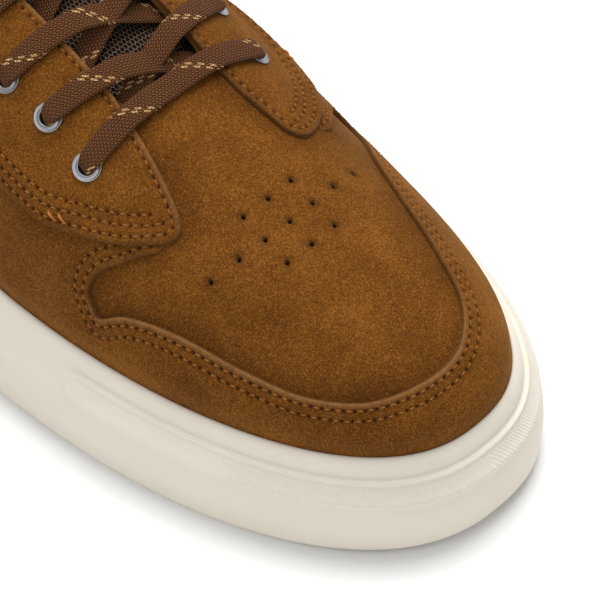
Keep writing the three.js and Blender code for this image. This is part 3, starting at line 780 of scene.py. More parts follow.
def fold(flat, offset):
    """Points of the flat pattern, folded on to the form at an offset. Past the rim they run down."""
    flat = np.asarray(flat, float)
    offset = np.broadcast_to(np.asarray(offset, float), (len(flat),))
    side, ray, distance = locate(flat)
    arc = skin_arc(side, ray)
    run = np.clip(distance / arc, 0, 1) * (ray_samples - 1)
    share = by_side(side, lambda table: look_up(table["share"], ray_place(ray), run))
    place = offset - offset_list[0]
    reach = by_side(side, lambda table: look_up(table["reach"], ray_place(ray), place))
    hub = np.stack(hub_of(ray), 1)
    plan = hub + np.stack(heading_of(ray, side), 1) * (reach * share)[:, None]
    z = form_height(plan[:, 0], plan[:, 1], offset) - np.maximum(0, distance - arc)
    return swell(np.column_stack([plan, z]))


def from_rim(flat):
    """Distance over the skin from the sole's rim, positive above it."""
    side, ray, distance = locate(np.asarray(flat, float))
    return skin_arc(side, ray) - distance


def spline(points, per_span, closed=False):
    """Catmull-Rom curve through points."""
    points = np.asarray(points, float)
    if closed:
        padded = np.vstack([points[-1], points, points[0], points[1]])
    else:
        padded = np.vstack([points[0], points, points[-1]])
    t = np.arange(per_span)[:, None] / per_span
    spans = []
    for a, b, c, d in zip(padded[:-3], padded[1:-2], padded[2:-1], padded[3:]):
        spans.append(b + 0.5 * t * (c - a + t * (2 * a - 5 * b + 4 * c - d + t * (3 * (b - c) + d - a))))
    if not closed:
        spans.append(points[-1:])
    return np.vstack(spans)


def run_along(line):
    """Length along a line at each of its points."""
    return np.concatenate([[0], np.cumsum(np.linalg.norm(np.diff(line, axis=0), axis=1))])


def even_steps(line, step, closed=False, measured=None):
    """The same line with its points spread evenly, as its first columns measure it."""
    if closed:
        line = np.vstack([line, line[:1]])
    run = run_along(line[:, :measured])
    count = max(2, int(round(run[-1] / step)))
    places = np.linspace(0, run[-1], count + 1)
    spread = np.stack([np.interp(places, run, line[:, k]) for k in range(line.shape[1])], 1)
    return spread[:-1] if closed else spread


def to_line(points, line, closed=True):
    """Distance from points to a line of straight pieces."""
    start = line if closed else line[:-1]
    end = np.roll(line, -1, axis=0) if closed else line[1:]
    nearest = np.full(len(points), np.inf)
    span = end - start
    length = np.maximum((span ** 2).sum(1), 1e-12)
    for first in range(0, len(points), 2000):
        some = points[first:first + 2000, None, :] - start[None]
        t = np.clip((some * span).sum(-1) / length, 0, 1)
        gap = some - span * t[..., None]
        nearest[first:first + 2000] = np.sqrt((gap ** 2).sum(-1).min(1))
    return nearest


def to_spots(points, spots):
    """Distance from points to the nearest of some spots."""
    nearest = np.full(len(points), np.inf)
    for first in range(0, len(spots), 40):
        gap = np.linalg.norm(points[:, None] - spots[None, first:first + 40], axis=2)
        nearest = np.minimum(nearest, gap.min(1))
    return nearest


def inside(points, loop):
    """Whether points lie inside a closed line."""
    x0, y0 = loop[:, 0], loop[:, 1]
    x1, y1 = np.roll(x0, -1), np.roll(y0, -1)
    rise = np.where(y1 == y0, 1e-12, y1 - y0)
    result = np.zeros(len(points), bool)
    for first in range(0, len(points), 2000):
        x, y = points[first:first + 2000, 0, None], points[first:first + 2000, 1, None]
        crosses = ((y0 > y) != (y1 > y)) & (x < (x1 - x0) * (y - y0) / rise + x0)
        result[first:first + 2000] = crosses.sum(1) % 2 == 1
    return result


def drawn_in(loop, distance):
    """A closed line moved to its inside by a small distance."""
    ahead = np.roll(loop, -1, axis=0) - np.roll(loop, 1, axis=0)
    ahead /= np.maximum(np.linalg.norm(ahead, axis=1), 1e-9)[:, None]
    area = (loop[:, 0] * np.roll(loop[:, 1], -1) - np.roll(loop[:, 0], -1) * loop[:, 1]).sum()
    inward = np.stack([-ahead[:, 1], ahead[:, 0]], 1) * np.sign(area)
    return loop + inward * distance


def triangulate(outer, holes, spacing, rings, extra=()):
    """Triangles over a flat region with holes, with rows of points along its edges."""
    low, high = outer.min(0), outer.max(0)
    columns = np.arange(low[0], high[0], spacing)
    rows = np.arange(low[1], high[1], spacing * math.sqrt(0.75))
    grid_x, grid_y = np.meshgrid(columns, rows)
    grid_x[1::2] += spacing / 2
    grid = np.stack([grid_x.ravel(), grid_y.ravel()], 1)
    grid = grid[inside(grid, outer)]
    edges_in = rings[-1] if rings else 0.0
    keep = to_line(grid, outer) > edges_in + 0.5 * spacing
    for hole in holes:
        near = np.linalg.norm(grid - hole.mean(0), axis=1) < np.ptp(hole, axis=0).max() + 3 * spacing
        picked = np.flatnonzero(keep & near)
        wrong = inside(grid[picked], hole) | (to_line(grid[picked], hole) < edges_in + 0.5 * spacing)
        keep[picked[wrong]] = False
    grid = grid[keep]
    lines = [outer] + list(holes)
    free = [grid]
    for distance in rings:
        free.append(drawn_in(outer, distance))
        free.extend(drawn_in(hole, -distance) for hole in holes)
    free.extend(np.asarray(spot, float) for spot in extra if len(spot))
    corners = np.concatenate(lines)
    edges, first = [], 0
    for line in lines:
        count = len(line)
        edges.extend((first + k, first + (k + 1) % count) for k in range(count))
        first += count
    every = np.concatenate([corners] + free)
    result = delaunay_2d_cdt([Vector(p) for p in every.tolist()], edges, [], 0, 1e-5, False)
    flat = np.array([(p.x, p.y) for p in result[0]])
    triangles = np.array(result[2])
    centres = flat[triangles].mean(1)
    keep = inside(centres, outer)
    for hole in holes:
        near = np.linalg.norm(centres - hole.mean(0), axis=1) < np.ptp(hole, axis=0).max() + 2
        picked = np.flatnonzero(keep & near)
        keep[picked[inside(centres[picked], hole)]] = False
    triangles = triangles[keep]
    used, triangles = np.unique(triangles, return_inverse=True)
    return flat[used], triangles.reshape(-1, 3)


def border_edges(triangles):
    edges = np.concatenate([triangles[:, [0, 1]], triangles[:, [1, 2]], triangles[:, [2, 0]]])
    key = np.sort(edges, 1)
    _, first, count = np.unique(key, axis=0, return_index=True, return_counts=True)
    return edges[first[count == 1]]


def wrap_layer(top, bottom, triangles, side_rows):
    """A closed layer: its top skin, its under skin and the cut edge between them, row by row."""
    count = len(top)
    border = border_edges(triangles)
    rim, ends = np.unique(border, return_inverse=True)
    ends = ends.reshape(-1, 2)
    points = [top, bottom]
    above = rim[ends]
    faces = [triangles, triangles[:, ::-1] + count]
    first = 2 * count
    for share in side_rows:
        points.append(top[rim] * (1 - share) + bottom[rim] * share)
        below = first + ends
        faces.append(np.stack([above[:, 1], above[:, 0], below[:, 0], below[:, 1]], 1))
        above = below
        first += len(rim)
    below = rim[ends] + count
    faces.append(np.stack([above[:, 1], above[:, 0], below[:, 0], below[:, 1]], 1))
    return np.concatenate(points), faces, rim


def suede_hide():
    """The suede material. Its mesh carries how raw each point is, with painted light on cut edges that face
    the heel, and how much painted shade it has: deep in holes and on cut edges, softer in seams and beside
    overlays.
    """
    material, tree, surface = new_material("brushed_suede")
    marks = node(tree, "ShaderNodeAttribute", attribute_name="marks")
    split = node(tree, "ShaderNodeSeparateColor", {0: marks.outputs["Color"]})
    nap = node(tree, "ShaderNodeGroup", node_tree=suede_nap)
    given = {
        "Deep": suede_deep, "Middle": suede_mid, "Light": suede_light, "Raw": suede_raw,
        "Deep Shade Colour": deep_shade_brown, "Grain": suede_grain,
    }
    for name, value in given.items():
        nap.inputs[name].default_value = value
    # The marks carry the raw edge, the deep painted shade and the soft painted shade.
    for part, name in enumerate(("Raw Edge", "Deep Shade", "Shade")):
        tree.links.new(split.outputs[part], nap.inputs[name])
    tree.links.new(nap.outputs["Color"], surface.inputs["Base Color"])
    tree.links.new(nap.outputs["Roughness"], surface.inputs["Roughness"])
    bump = node(tree, "ShaderNodeBump", {
        "Height": nap.outputs["Height"], "Strength": 0.55, "Distance": suede_fuzz * MM,
    })
    tree.links.new(bump.outputs[0], surface.inputs["Normal"])
    surface.inputs["Specular IOR Level"].default_value = 0.08
    surface.inputs["Sheen Weight"].default_value = 0.14
    surface.inputs["Sheen Roughness"].default_value = 0.5
    surface.inputs["Sheen Tint"].default_value = suede_sheen
    return material


def suede_group():
    """Shader group for brushed suede: specks, tufts and hairs over softer patches, and its raw cut edge.
    Two inputs paint shade into it: a soft painted shade that darkens the nap, and a deep painted shade that
    blends in a dark brown.
    """
    tree = bpy.data.node_groups.new("suede_nap", "ShaderNodeTree")
    for name in ("Deep", "Middle", "Light", "Raw", "Deep Shade Colour"):
        tree.interface.new_socket(name, in_out="INPUT", socket_type="NodeSocketColor")
    for name in ("Grain", "Raw Edge", "Deep Shade", "Shade"):
        tree.interface.new_socket(name, in_out="INPUT", socket_type="NodeSocketFloat")
    tree.interface.new_socket("Color", in_out="OUTPUT", socket_type="NodeSocketColor")
    for name in ("Height", "Roughness"):
        tree.interface.new_socket(name, in_out="OUTPUT", socket_type="NodeSocketFloat")
    given = node(tree, "NodeGroupInput").outputs
    place = object_place(tree)
    speck = noise(tree, place, given["Grain"], 2.0, Roughness=0.65)
    tuft = noise(tree, place, 640.0, 3.0, Roughness=0.6)
    brushed = noise(tree, place, 75.0, 3.0, Distortion=0.6)
    patch = noise(tree, place, 22.0, 2.0)
    hairs = noise(tree, place, 1700.0, 1.0, Distortion=0.4)
    total = remap(tree, hairs, (0.6, 0.74), (0.0, 0.45))
    for pattern, amount in ((speck, 0.52), (tuft, 0.13), (brushed, 0.16), (patch, 0.1)):
        total = formula(tree, "ADD", total, remap(tree, pattern, (0.3, 0.7), (-amount, amount)))
    # Painted shade: the soft shade input darkens the nap in seams and beside overlays.
    shaded = formula(tree, "MULTIPLY_ADD", given["Shade"], -0.45, total)
    dark = formula(tree, "MULTIPLY", shaded, -1.6, use_clamp=True)
    light = formula(tree, "MULTIPLY", shaded, 1.6, use_clamp=True)
    color = blend(tree, light, blend(tree, dark, given["Middle"], given["Deep"]), given["Light"])
    # Raw cut edge colour; on overlays its share also carries painted light on edges that face the heel.
    raw_color = blend(tree, 0.6, blend(tree, speck, given["Deep"], given["Raw"]), given["Raw"])
    frayed = remap(tree, tuft, (0.3, 0.6), (0.45, 1.15))
    raw_share = formula(tree, "MULTIPLY", given["Raw Edge"], frayed, use_clamp=True)
    # Painted shade: the deep shade input blends in the dark brown at holes and shaded cut edges.
    color = blend(tree, given["Deep Shade"], blend(tree, raw_share, color, raw_color), given["Deep Shade Colour"])
    node(tree, "NodeGroupOutput", {
        "Color": color,
        "Height": formula(tree, "MULTIPLY_ADD", tuft, 1.4, speck),
        "Roughness": remap(tree, patch, (0.0, 1.0), (0.86, 0.98)),
    })
    return tree


suede_nap = suede_group()


def mark(thing, raw, hole, shade):
    """Stores how raw each point of a suede piece is, and two amounts of painted shade: deep shade for holes
    and cut edges, and soft shade for seams and the skin beside overlays.
    """
    layer = thing.data.color_attributes.new("marks", "FLOAT_COLOR", "POINT")
    values = np.stack([raw, hole, shade, np.ones(len(raw))], 1)
    layer.data.foreach_set("color", values.ravel())


def collar_height(y):
    curve = spline(np.stack([length_at(topline[:, 0]), topline[:, 1] * back_height], 1), 12)
    return np.interp(y, curve[:, 0], curve[:, 1])


def level_edge(side, first_y, height_at):
    """Flat pattern points and rays where one side of the skin reaches a height, towards the back."""
    ray = ray_list[ray_list >= first_y]
    arc = np.interp(ray, ray_list, rays[side]["arc"])
    edge, kept = [], []
    for one, total in zip(ray, arc):
        run = np.linspace(total, 0, 400)
        heading = np.array(heading_of(one, side))
        flat = np.array(hub_of(one)) + heading * run[:, None]
        surface = fold(flat, 0.0)
        above = surface[:, 2] - height_at(surface[:, 1])
        crossed = np.flatnonzero(above > 0)
        if len(crossed) and crossed[0] > 0:
            k = crossed[0]
            t = above[k - 1] / (above[k - 1] - above[k])
            edge.append(flat[k - 1] * (1 - t) + flat[k] * t)
            kept.append(one)
    return np.array(edge), np.array(kept)


def throat_side(side):
    """Flat pattern points of the throat's edge on one side, from its front corner to the collar."""
    half = throat_width / 2
    turn = np.linspace(math.pi / 2, 0, 12)
    corner_y = length_at(throat_at) + throat_corner
    corner = np.stack([
        side * (half - throat_corner + throat_corner * np.cos(turn)),
        corner_y - throat_corner * np.sin(turn),
    ], 1)
    y = np.arange(corner_y + 1, length_at(0.72), 0.8)
    straight = np.stack([np.full(len(y), side * half), y], 1)
    return np.vstack([corner, straight])


collar_lines, edge_rays = {}, {}
for side in (-1, 1):
    collar_lines[side], edge_rays[side] = level_edge(side, lining_front_y, collar_height)


def opening():
    """Edge of the throat and collar as one closed line of the flat pattern."""
    sides = []
    for side in (1, -1):
        plan = throat_side(side)
        surface_z = form_height(plan[:, 0], plan[:, 1], 0.0)
        below = surface_z < collar_height(plan[:, 1])
        below |= plan[:, 1] < lining_front_y
        throat_flat = lay_flat(plan[below])
        collar = collar_lines[side]
        outside = np.abs(fold(collar, 0.0)[:, 0]) > throat_width / 2
        sides.append(np.vstack([throat_flat, collar[outside]]))
    loop = np.vstack([sides[0], sides[1][::-1]])
    return even_steps(loop, 0.9, closed=True)


def lasting_edge(step, depth_at):
    """Outer edge of the pattern, turned down inside the cup."""
    loops = []
    for side in (-1, 1):
        arc = rays[side]["arc"]
        hub = np.stack(hub_of(ray_list), 1)
        heading = np.stack(heading_of(ray_list, side), 1)
        rim = hub + heading * arc[:, None]
        down = depth_at(fold(rim, 0.0)[:, 1])
        loops.append(hub + heading * (arc + down)[:, None])
    return even_steps(np.vstack([loops[0], loops[1][::-1]]), step, closed=True)


def circle(centre, radius, count):
    turn = np.arange(count) / count * 2 * math.pi
    return np.stack([centre[0] + radius * np.cos(turn), centre[1] + radius * np.sin(turn)], 1)


overlay_top = 1.5
eyelet_pairs = 6
eyelet_pitch = 15
eyelet_span = 56
first_eyelet_y = length_at(0.358)
eyelet_hole_radius = 2.75
hole_corners = 14
eyelet_moves = {(-1, 0): (-0.9, 0.7), (1, 0): (-0.8, -0.8), (-1, 1): (0.4, 0.4), (1, 1): (0.6, -0.1)}


def eyelet_spot(side, row):
    move = eyelet_moves.get((side, row), (0, 0))
    return np.array((side * eyelet_span / 2 + move[0], first_eyelet_y + row * eyelet_pitch + move[1]))


eyelet_plan = np.array([eyelet_spot(side, row) for side in (-1, 1) for row in range(eyelet_pairs)])
eyelet_flat = lay_flat(eyelet_plan, overlay_top)
vents = []
for number, step in vent_rows:
    for k in range(number):
        along_row = (k - (number - 1) / 2) * vent_pitch
        bowed = step * vent_row_pitch + vent_bow * (along_row / vent_pitch) ** 2
        vents.append((vent_centre[0] + along_row, vent_centre[1] + bowed))
vent_flat = lay_flat(vents)
opening_loop = opening()
upper_outer = lasting_edge(1.5, lambda y: wall_height - floor_at(y) - clearance)
upper_holes = [opening_loop] + [circle(spot, vent_radius, 12) for spot in vent_flat]
upper_holes += [circle(spot, eyelet_hole_radius, hole_corners) for spot in eyelet_flat]

# Lines marked on the shell for the overlays: the eyestay's inner edge as shares of half the throat, its
# lower edge as shares of the shell's half width, and the mudguard's edge as shares of half the ball.
eyestay_inner = {
    -1: np.array([(1.0, 0.7), (0.98, 0.42), (1.05, 0.367), (1.21, 0.327), (1.43, 0.293), (1.6, 0.277)]),
    1: np.array([
        (1.0, 0.7), (0.98, 0.42), (0.96, 0.375), (0.945, 0.335), (1.08, 0.302), (1.15, 0.284),
        (1.33, 0.2735),
    ]),
}
eyestay_tip = {
    -1: [(0.545, 0.271), (0.63, 0.279), (0.73, 0.302)],
    1: [(0.478, 0.273), (0.602, 0.284), (0.732, 0.31)],
}
eyestay_lower = [(0.805, 0.335), (0.86, 0.375), (0.87, 0.433), (0.885, 0.517), (0.87, 0.593), (0.85, 0.7)]
notch = [
    (0.64, 0.54), (0.63, 0.37), (0.57, 0.325), (0.49, 0.3), (0.47, 0.281), (0.531, 0.276), (0.587, 0.285),
    (0.661, 0.298), (0.707, 0.308), (0.745, 0.3135), (0.786, 0.314), (0.806, 0.305), (0.808, 0.296),
]
toe_cap = [
    (-0.755, 0.272), (-0.68, 0.223), (-0.6, 0.165), (-0.5, 0.115), (-0.33, 0.075), (-0.1, 0.056),
    (0.13, 0.058), (0.31, 0.085), (0.42, 0.13), (0.54, 0.195), (0.65, 0.245), (0.76, 0.277),
]
mudguard_line = np.array([(-x, at) for x, at in notch] + toe_cap + notch[::-1])
mudguard_plan = np.stack([mudguard_line[:, 0] * ball_width / 2, length_at(mudguard_line[:, 1])], 1)
mudguard_edge = even_steps(lay_flat(spline(mudguard_plan, 16), overlay_top), 0.55)


def eyestay_lines(side, plan):
    inner = eyestay_inner[side] * (side * throat_width / 2, 1)
    inner[:, 1] = length_at(inner[:, 1])
    lower = np.array(eyestay_tip[side] + eyestay_lower)
    y = length_at(lower[:, 1])
    lower = np.stack([side * lower[:, 0] * half_width(plan, y, upper_inset), y], 1)
    line = spline(np.vstack([inner, lower]), 16)
    tip = 16 * (len(inner) - 1) + 8
    return even_steps(line[:tip + 1], 0.6), even_steps(line[tip:], 0.6)


eyestay_edges = {-1: eyestay_lines(-1, lateral), 1: eyestay_lines(1, medial)}

# Creases laid over the flex of the vamp and at the ankle, as rows of the two ends in plan,
# half width and depth. A negative depth is a ridge.
creases = [
    ((-22, -58), (-6, -60.5), 3.4, 0.22),
    ((-2, -61), (18, -58.5), 3.6, 0.2),
    ((-16, -65.5), (10, -66.5), 3.2, -0.14),
    ((-30, -72), (-14, -71), 4.0, 0.16),
    ((20, -70), (32, -73), 4.0, 0.16),
    ((-42, 66), (-46, 84), 4.5, 0.55),
    ((-42, 74), (-45, 92), 3.5, -0.35),
    ((41, 64), (44, 82), 4.5, 0.55),
    ((41, 73), (43, 90), 3.5, -0.35),
]


def lower_down(line, distance):
    """A line of the flat pattern moved down the skin, away from the crown."""
    side, ray, _ = locate(line)
    return line + np.stack(heading_of(ray, side), 1) * distance


def creased(points):
    """How far the creases press the skin in at points on it."""
    depth = np.zeros(len(points))
    for start, end, width, amount in creases:
        line = np.array([start, end], float)
        gap = to_line(points[:, :2], line, closed=False)
        depth += amount * np.exp(-(gap / width) ** 2)
    return depth


def row_beside(line, distance):
    """A stitch row: the line moved to its left in the flat pattern."""
    ahead = np.gradient(line, axis=0)
    ahead /= np.maximum(np.linalg.norm(ahead, axis=1), 1e-9)[:, None]
    return line + np.stack([-ahead[:, 1], ahead[:, 0]], 1) * distance


def needles_along(line, offset):
    """Needle places along a row, a stitch apart over the skin."""
    run = run_along(fold(line, offset))
    count = max(2, int(round(run[-1] / stitch_pitch)))
    places = np.linspace(0, run[-1], count + 1)
    return np.stack([np.interp(places, run, line[:, k]) for k in range(2)], 1)


def visible_runs(line, edge, distance, covers=()):
    """The parts of a row that keep their distance from the cut edge and that no overlay covers."""
    clear = to_line(line, edge, closed=False) > 0.96 * distance
    clear &= from_rim(line) > row_above_rim
    for loop in covers:
        clear &= ~inside(line, loop) | (to_line(line, loop) < 1.2)
    runs = np.split(np.arange(len(line)), np.flatnonzero(np.diff(clear.astype(int))) + 1)
    return [line[run] for run in runs if clear[run[0]] and len(run) > 6]


def rosette(needles):
    """Extra mesh points in and around needle holes."""
    turn = np.arange(6) * math.pi / 3
    ring = np.stack([np.cos(turn), np.sin(turn)], 1) * needle_radius * 1.9
    return [needles] + [needles + step for step in ring]


def pierced_at(flat, needles):
    """How deep in a needle hole each point is, from 0 on the skin to 1 at a hole's middle."""
    return np.exp(-(to_spots(flat, needles) / needle_radius) ** 2)


def groove_at(flat, rows):
    """How deep in the groove of a stitch row each point is, from 0 to 1."""
    gap = np.minimum.reduce([to_line(flat, row, closed=False) for row in rows])
    return np.exp(-(gap / groove_width) ** 2)


collar_rows = []
for side in (-1, 1):
    line = collar_lines[side][edge_rays[side] > eyestay_end_y]
    lowered = lower_down(line, collar_row_below)
    collar_rows.append(needles_along(even_steps(lowered, 0.6), 0.0))
collar_needles = np.vstack(collar_rows)
flat, triangles = triangulate(upper_outer, upper_holes, upper_spacing, [0.5], rosette(collar_needles))
rest = fold(flat, 0.0)
edge_gap = np.minimum.reduce([to_line(flat, hole) for hole in upper_holes[:1 + len(vent_flat)]])
rounding = 0.45 * np.clip(1 - edge_gap / 0.5, 0, 1)
pierced = pierced_at(flat, collar_needles)
sewn = stitch_groove * groove_at(flat, collar_rows) + needle_depth * pierced
top = fold(flat, -creased(rest) - rounding - sewn)
bottom = fold(flat, -upper_wall)
points, faces, rim = wrap_layer(top, bottom, triangles, (0.5,))


def lining_material():
    material, tree, surface = new_material("knitted_lining")
    yarn_loops = node(tree, "ShaderNodeTexVoronoi", {
        "Vector": object_place(tree), "Scale": 900.0, "Randomness": 0.5,
    }).outputs["Distance"]
    bump = node(tree, "ShaderNodeBump", {
        "Height": yarn_loops, "Strength": 0.5, "Distance": 0.0003,
    }, invert=True)
    tree.links.new(blend(tree, yarn_loops, lining_brown, lining_dark), surface.inputs["Base Color"])
    tree.links.new(bump.outputs[0], surface.inputs["Normal"])
    surface.inputs["Roughness"].default_value = 0.95
    surface.inputs["Sheen Weight"].default_value = 0.25
    return material


suede = suede_hide()
lining = lining_material()
upper = make_piece("suede_upper", points, faces, suede)
upper.data.materials.append(lining)
raw = np.zeros(len(points))
raw[2 * len(top):] = 1.0
below_skin = np.zeros(len(points) - len(flat))
# Painted shade: darker around each vent hole, dark on the vent holes' cut walls and in the collar row's
# needle holes.
vent_gap = to_spots(flat, vent_flat)
vent_shadow = smooth(1.4 - vent_gap / (2.2 * vent_radius)) * 0.55
hole = np.concatenate([np.maximum(vent_shadow, np.clip(1.6 * pierced, 0, 1)), below_skin])
hole[2 * len(top):][vent_gap[rim] < 2 * vent_radius] = 1.0
eyestay_flats = [lay_flat(line, overlay_top) for lines in eyestay_edges.values() for line in lines]
overlay_edges = [mudguard_edge] + eyestay_flats
overlay_gap = np.minimum.reduce([to_line(flat, line, closed=False) for line in overlay_edges])
# Painted shade on the vamp beside the overlays' edges.
shade = np.concatenate([edge_shade * np.exp(-(overlay_gap / edge_shade_width) ** 2), below_skin])
mark(upper, raw, hole, shade)
lined = np.zeros(len(upper.data.polygons), int)
lined[len(triangles):2 * len(triangles)] = 1
upper.data.polygons.foreach_set("material_index", lined)
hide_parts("upper")
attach(upper, "root")

# Collar padding and lining
# A knitted lining over soft foam, folded over the topline and glued down the inside of the shell as
# far as the footbed. It is thickest just under the topline.
lining_rise = 1.6
lining_pad = 5.5
lining_skin = 1.0
lining_roll = 9
lining_steps = (0, 0.3, 0.8, 1.6, 2.8, 4.4, 6.5, 9, 12, 16, 21, 27, 34, 42)
lining_glue = 0.08


def collar_lining():
    """A strip from the topline down to the footbed, as deep as the foam under it at each place."""
    columns = []
    for side, turn in ((-1, 1), (1, -1)):
        edge = collar_lines[side]
        edge = edge[edge_rays[side] >= lining_front_y]
        columns.append(edge[::turn])
    edge = np.vstack(columns)
    side, ray, distance = locate(edge)
    heading = np.stack(heading_of(ray, side), 1)
    bottom = skin_arc(side, ray) + wall_height - floor_at(edge[:, 1]) - insole_thickness - insole_gap
    reach = bottom - distance + lining_rise
    steps = np.array(lining_steps) / lining_steps[-1]
    down = steps[None] * reach[:, None]
    near = np.minimum(np.array(lining_steps)[None], down)
    down = np.where(steps[None] < 0.5, near, down)
    flat = edge[:, None] + heading[:, None] * (down - lining_rise)[..., None]
    front = smooth((flat[..., 1] - lining_front_y - 8) / 26)
    roll = np.sqrt(1 - (1 - np.clip(down / lining_roll, 0, 1)) ** 2)
    fade = 1 - smooth((down - 18) / 26)
    pad = lining_skin + lining_pad * roll * fade * front
    rows, count = flat.shape[0], flat.shape[1]
    index = np.arange(rows * count).reshape(rows, count)
    a, b, c, d = index[:-1, :-1], index[1:, :-1], index[1:, 1:], index[:-1, 1:]
    halves = [np.stack(corners, -1).reshape(-1, 3) for corners in ((a, b, c), (a, c, d))]
    flat, pad = flat.reshape(-1, 2), pad.ravel()
    outer = fold(flat, -upper_wall - lining_glue)
    inner = fold(flat, -upper_wall - lining_glue - pad)
    return wrap_layer(outer, inner, np.concatenate(halves), (0.25, 0.5, 0.75))


points, faces, _ = collar_lining()
collar = make_piece("collar_lining", points, faces, lining)
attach(collar, "root")

# Tongue
# A padded strip faced with open hexagonal mesh over dark foam. Its front is stitched under the vamp,
# its edges are rounded over the foam, and its top stands free above the laces.
tongue_offset = -5.5
tongue_thickness = 5.5
tongue_front_half = 20
tongue_back_half = 30
tongue_front_y = length_at(0.3)
tongue_back_y = length_at(0.715)
tongue_corner = 10
tongue_round = 4.5
tongue_edge_drop = 2.6
tongue_spacing = 1.6
mesh_pitch = 1.35
mesh_dark = (0.006, 0.004, 0.0035, 1)
mesh_thread = (0.3, 0.19, 0.115, 1)
mesh_thread_dark = (0.07, 0.042, 0.026, 1)


def tongue_outline():
    turn = np.linspace(0, math.pi / 2, 10)
    corner = np.stack([
        tongue_back_half - tongue_corner + tongue_corner * np.cos(turn),
        tongue_back_y - tongue_corner + tongue_corner * np.sin(turn),
    ], 1)
    medial_side = np.vstack([[tongue_front_half, tongue_front_y], corner])
    plan = np.vstack([medial_side, medial_side[::-1] * (-1, 1)])
    return lay_flat(even_steps(plan, 1.0, closed=True), tongue_offset - tongue_thickness / 2)


tongue_flat = tongue_outline()
flat, triangles = triangulate(tongue_flat, [], tongue_spacing, [0.5, 1.2, 2.4])
edge_gap = to_line(flat, tongue_flat)
bulge = tongue_edge_drop * (1 - np.sqrt(1 - (1 - np.clip(edge_gap / tongue_round, 0, 1)) ** 2))
top = fold(flat, tongue_offset - bulge)
bottom = fold(flat, tongue_offset - tongue_thickness + bulge)
points, faces, rim = wrap_layer(top, bottom, triangles, (0.5,))


def vector_formula(tree, operation, *values):
    """Result of one sum with vectors in a material."""
    return node(tree, "ShaderNodeVectorMath", dict(enumerate(values)), operation=operation).outputs[0]


def hexagon_group():
    """Shader group for a hexagonal net: how near a point of a pattern is to the net's threads."""
    tree = bpy.data.node_groups.new("hexagonal_net", "ShaderNodeTree")
    tree.interface.new_socket("Pattern", in_out="INPUT", socket_type="NodeSocketVector")
    tree.interface.new_socket("Pitch", in_out="INPUT", socket_type="NodeSocketFloat")
    tree.interface.new_socket("Thread", in_out="OUTPUT", socket_type="NodeSocketFloat")
    given = node(tree, "NodeGroupInput").outputs
    cell = (1.0, math.sqrt(3), 1.0)
    half = (0.5, math.sqrt(3) / 2, 0.5)
    scaled = node(tree, "ShaderNodeVectorMath", {0: given["Pattern"], 3: given["Pitch"]}, operation="SCALE")
    nets = []
    for shift in (half, (0.0, 0.0, 0.0)):
        moved = vector_formula(tree, "ADD", scaled.outputs[0], shift)
        folded = vector_formula(tree, "WRAP", moved, cell, (0, 0, 0))
        centred = vector_formula(tree, "SUBTRACT", folded, half)
        away = vector_formula(tree, "ABSOLUTE", vector_formula(tree, "MULTIPLY", centred, (1, 1, 0)))
        slant = node(tree, "ShaderNodeVectorMath", {
            0: away, 1: (0.5, math.sqrt(3) / 2, 0),
        }, operation="DOT_PRODUCT")
        level = node(tree, "ShaderNodeSeparateXYZ", {0: away})
        nets.append(formula(tree, "MAXIMUM", slant.outputs["Value"], level.outputs["X"]))
    nearest = formula(tree, "MINIMUM", *nets)
    thread = remap(tree, nearest, (0.35, 0.47), interpolation_type="SMOOTHSTEP")
    node(tree, "NodeGroupOutput", {"Thread": thread})
    return tree


def store_pattern(thing, flat, points_used):
    """Keeps the flat pattern's places, in millimetres, as the piece's own map."""
    layer = thing.data.attributes.new("pattern", "FLOAT_VECTOR", "POINT")
    values = np.zeros((len(thing.data.vertices), 3))
    values[:, :2] = flat[points_used]
    layer.data.foreach_set("vector", values.ravel())


mesh_cloth, tree, surface = new_material("tongue_mesh")
pattern = node(tree, "ShaderNodeAttribute", attribute_name="pattern")
net = node(tree, "ShaderNodeGroup", node_tree=hexagon_group())
tree.links.new(pattern.outputs["Vector"], net.inputs["Pattern"])
net.inputs["Pitch"].default_value = 1 / mesh_pitch
yarn = blend(tree, noise(tree, object_place(tree), 700.0, 1.0), mesh_thread_dark, mesh_thread)
bump = node(tree, "ShaderNodeBump", {"Height": net.outputs[0], "Strength": 1.0, "Distance": 0.0004})
tree.links.new(blend(tree, net.outputs[0], mesh_dark, yarn), surface.inputs["Base Color"])
tree.links.new(bump.outputs[0], surface.inputs["Normal"])
surface.inputs["Roughness"].default_value = 0.9
surface.inputs["Specular IOR Level"].default_value = 0.1

tongue = make_piece("padded_tongue", points, faces, mesh_cloth)
store_pattern(tongue, flat, np.concatenate([np.arange(len(flat)), np.arange(len(flat)), rim]))
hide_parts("tongue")
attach(tongue, "root")

# Mudguard
# A suede overlay cut with a notch on each side, lasted over the toe and stitched to the vamp with two
# rows of waxed thread. Its raw inner edge shows, and its foot is pressed flat behind the foxing.
overlay_under = 0.04
overlay_foot = 0.22
overlay_press = 7
overlay_round = 1.1
overlay_fall = 0.45
pared_edge = 0.08
raw_band = 1.6
ragged_by = 0.06
# Direction in the flat pattern towards the heel, which the nap is brushed to and the light comes from.
nap_and_light_heading = np.array((0.55, 0.83))
overlay_rows_in = (0.15, 0.5, 1.1)
overlay_spacing = 1.05
foot_tuck = 2.2
eyestay_below_collar = 0.7
paring_width = 6.5
thread_radius = 0.25
thread_span = 0.62
thread_variation = 0.12
thread_seed = 7
mudguard_rows_at = (1.7, 4.2)
thread_tan = (0.16, 0.055, 0.011, 1)
thread_pale = (0.36, 0.14, 0.032, 1)


def pressed(flat, full):
    """Offset of an overlay's top: full on the skin and pressed flat near the rim."""
    return overlay_foot + (full - overlay_foot) * smooth(from_rim(flat) / overlay_press)


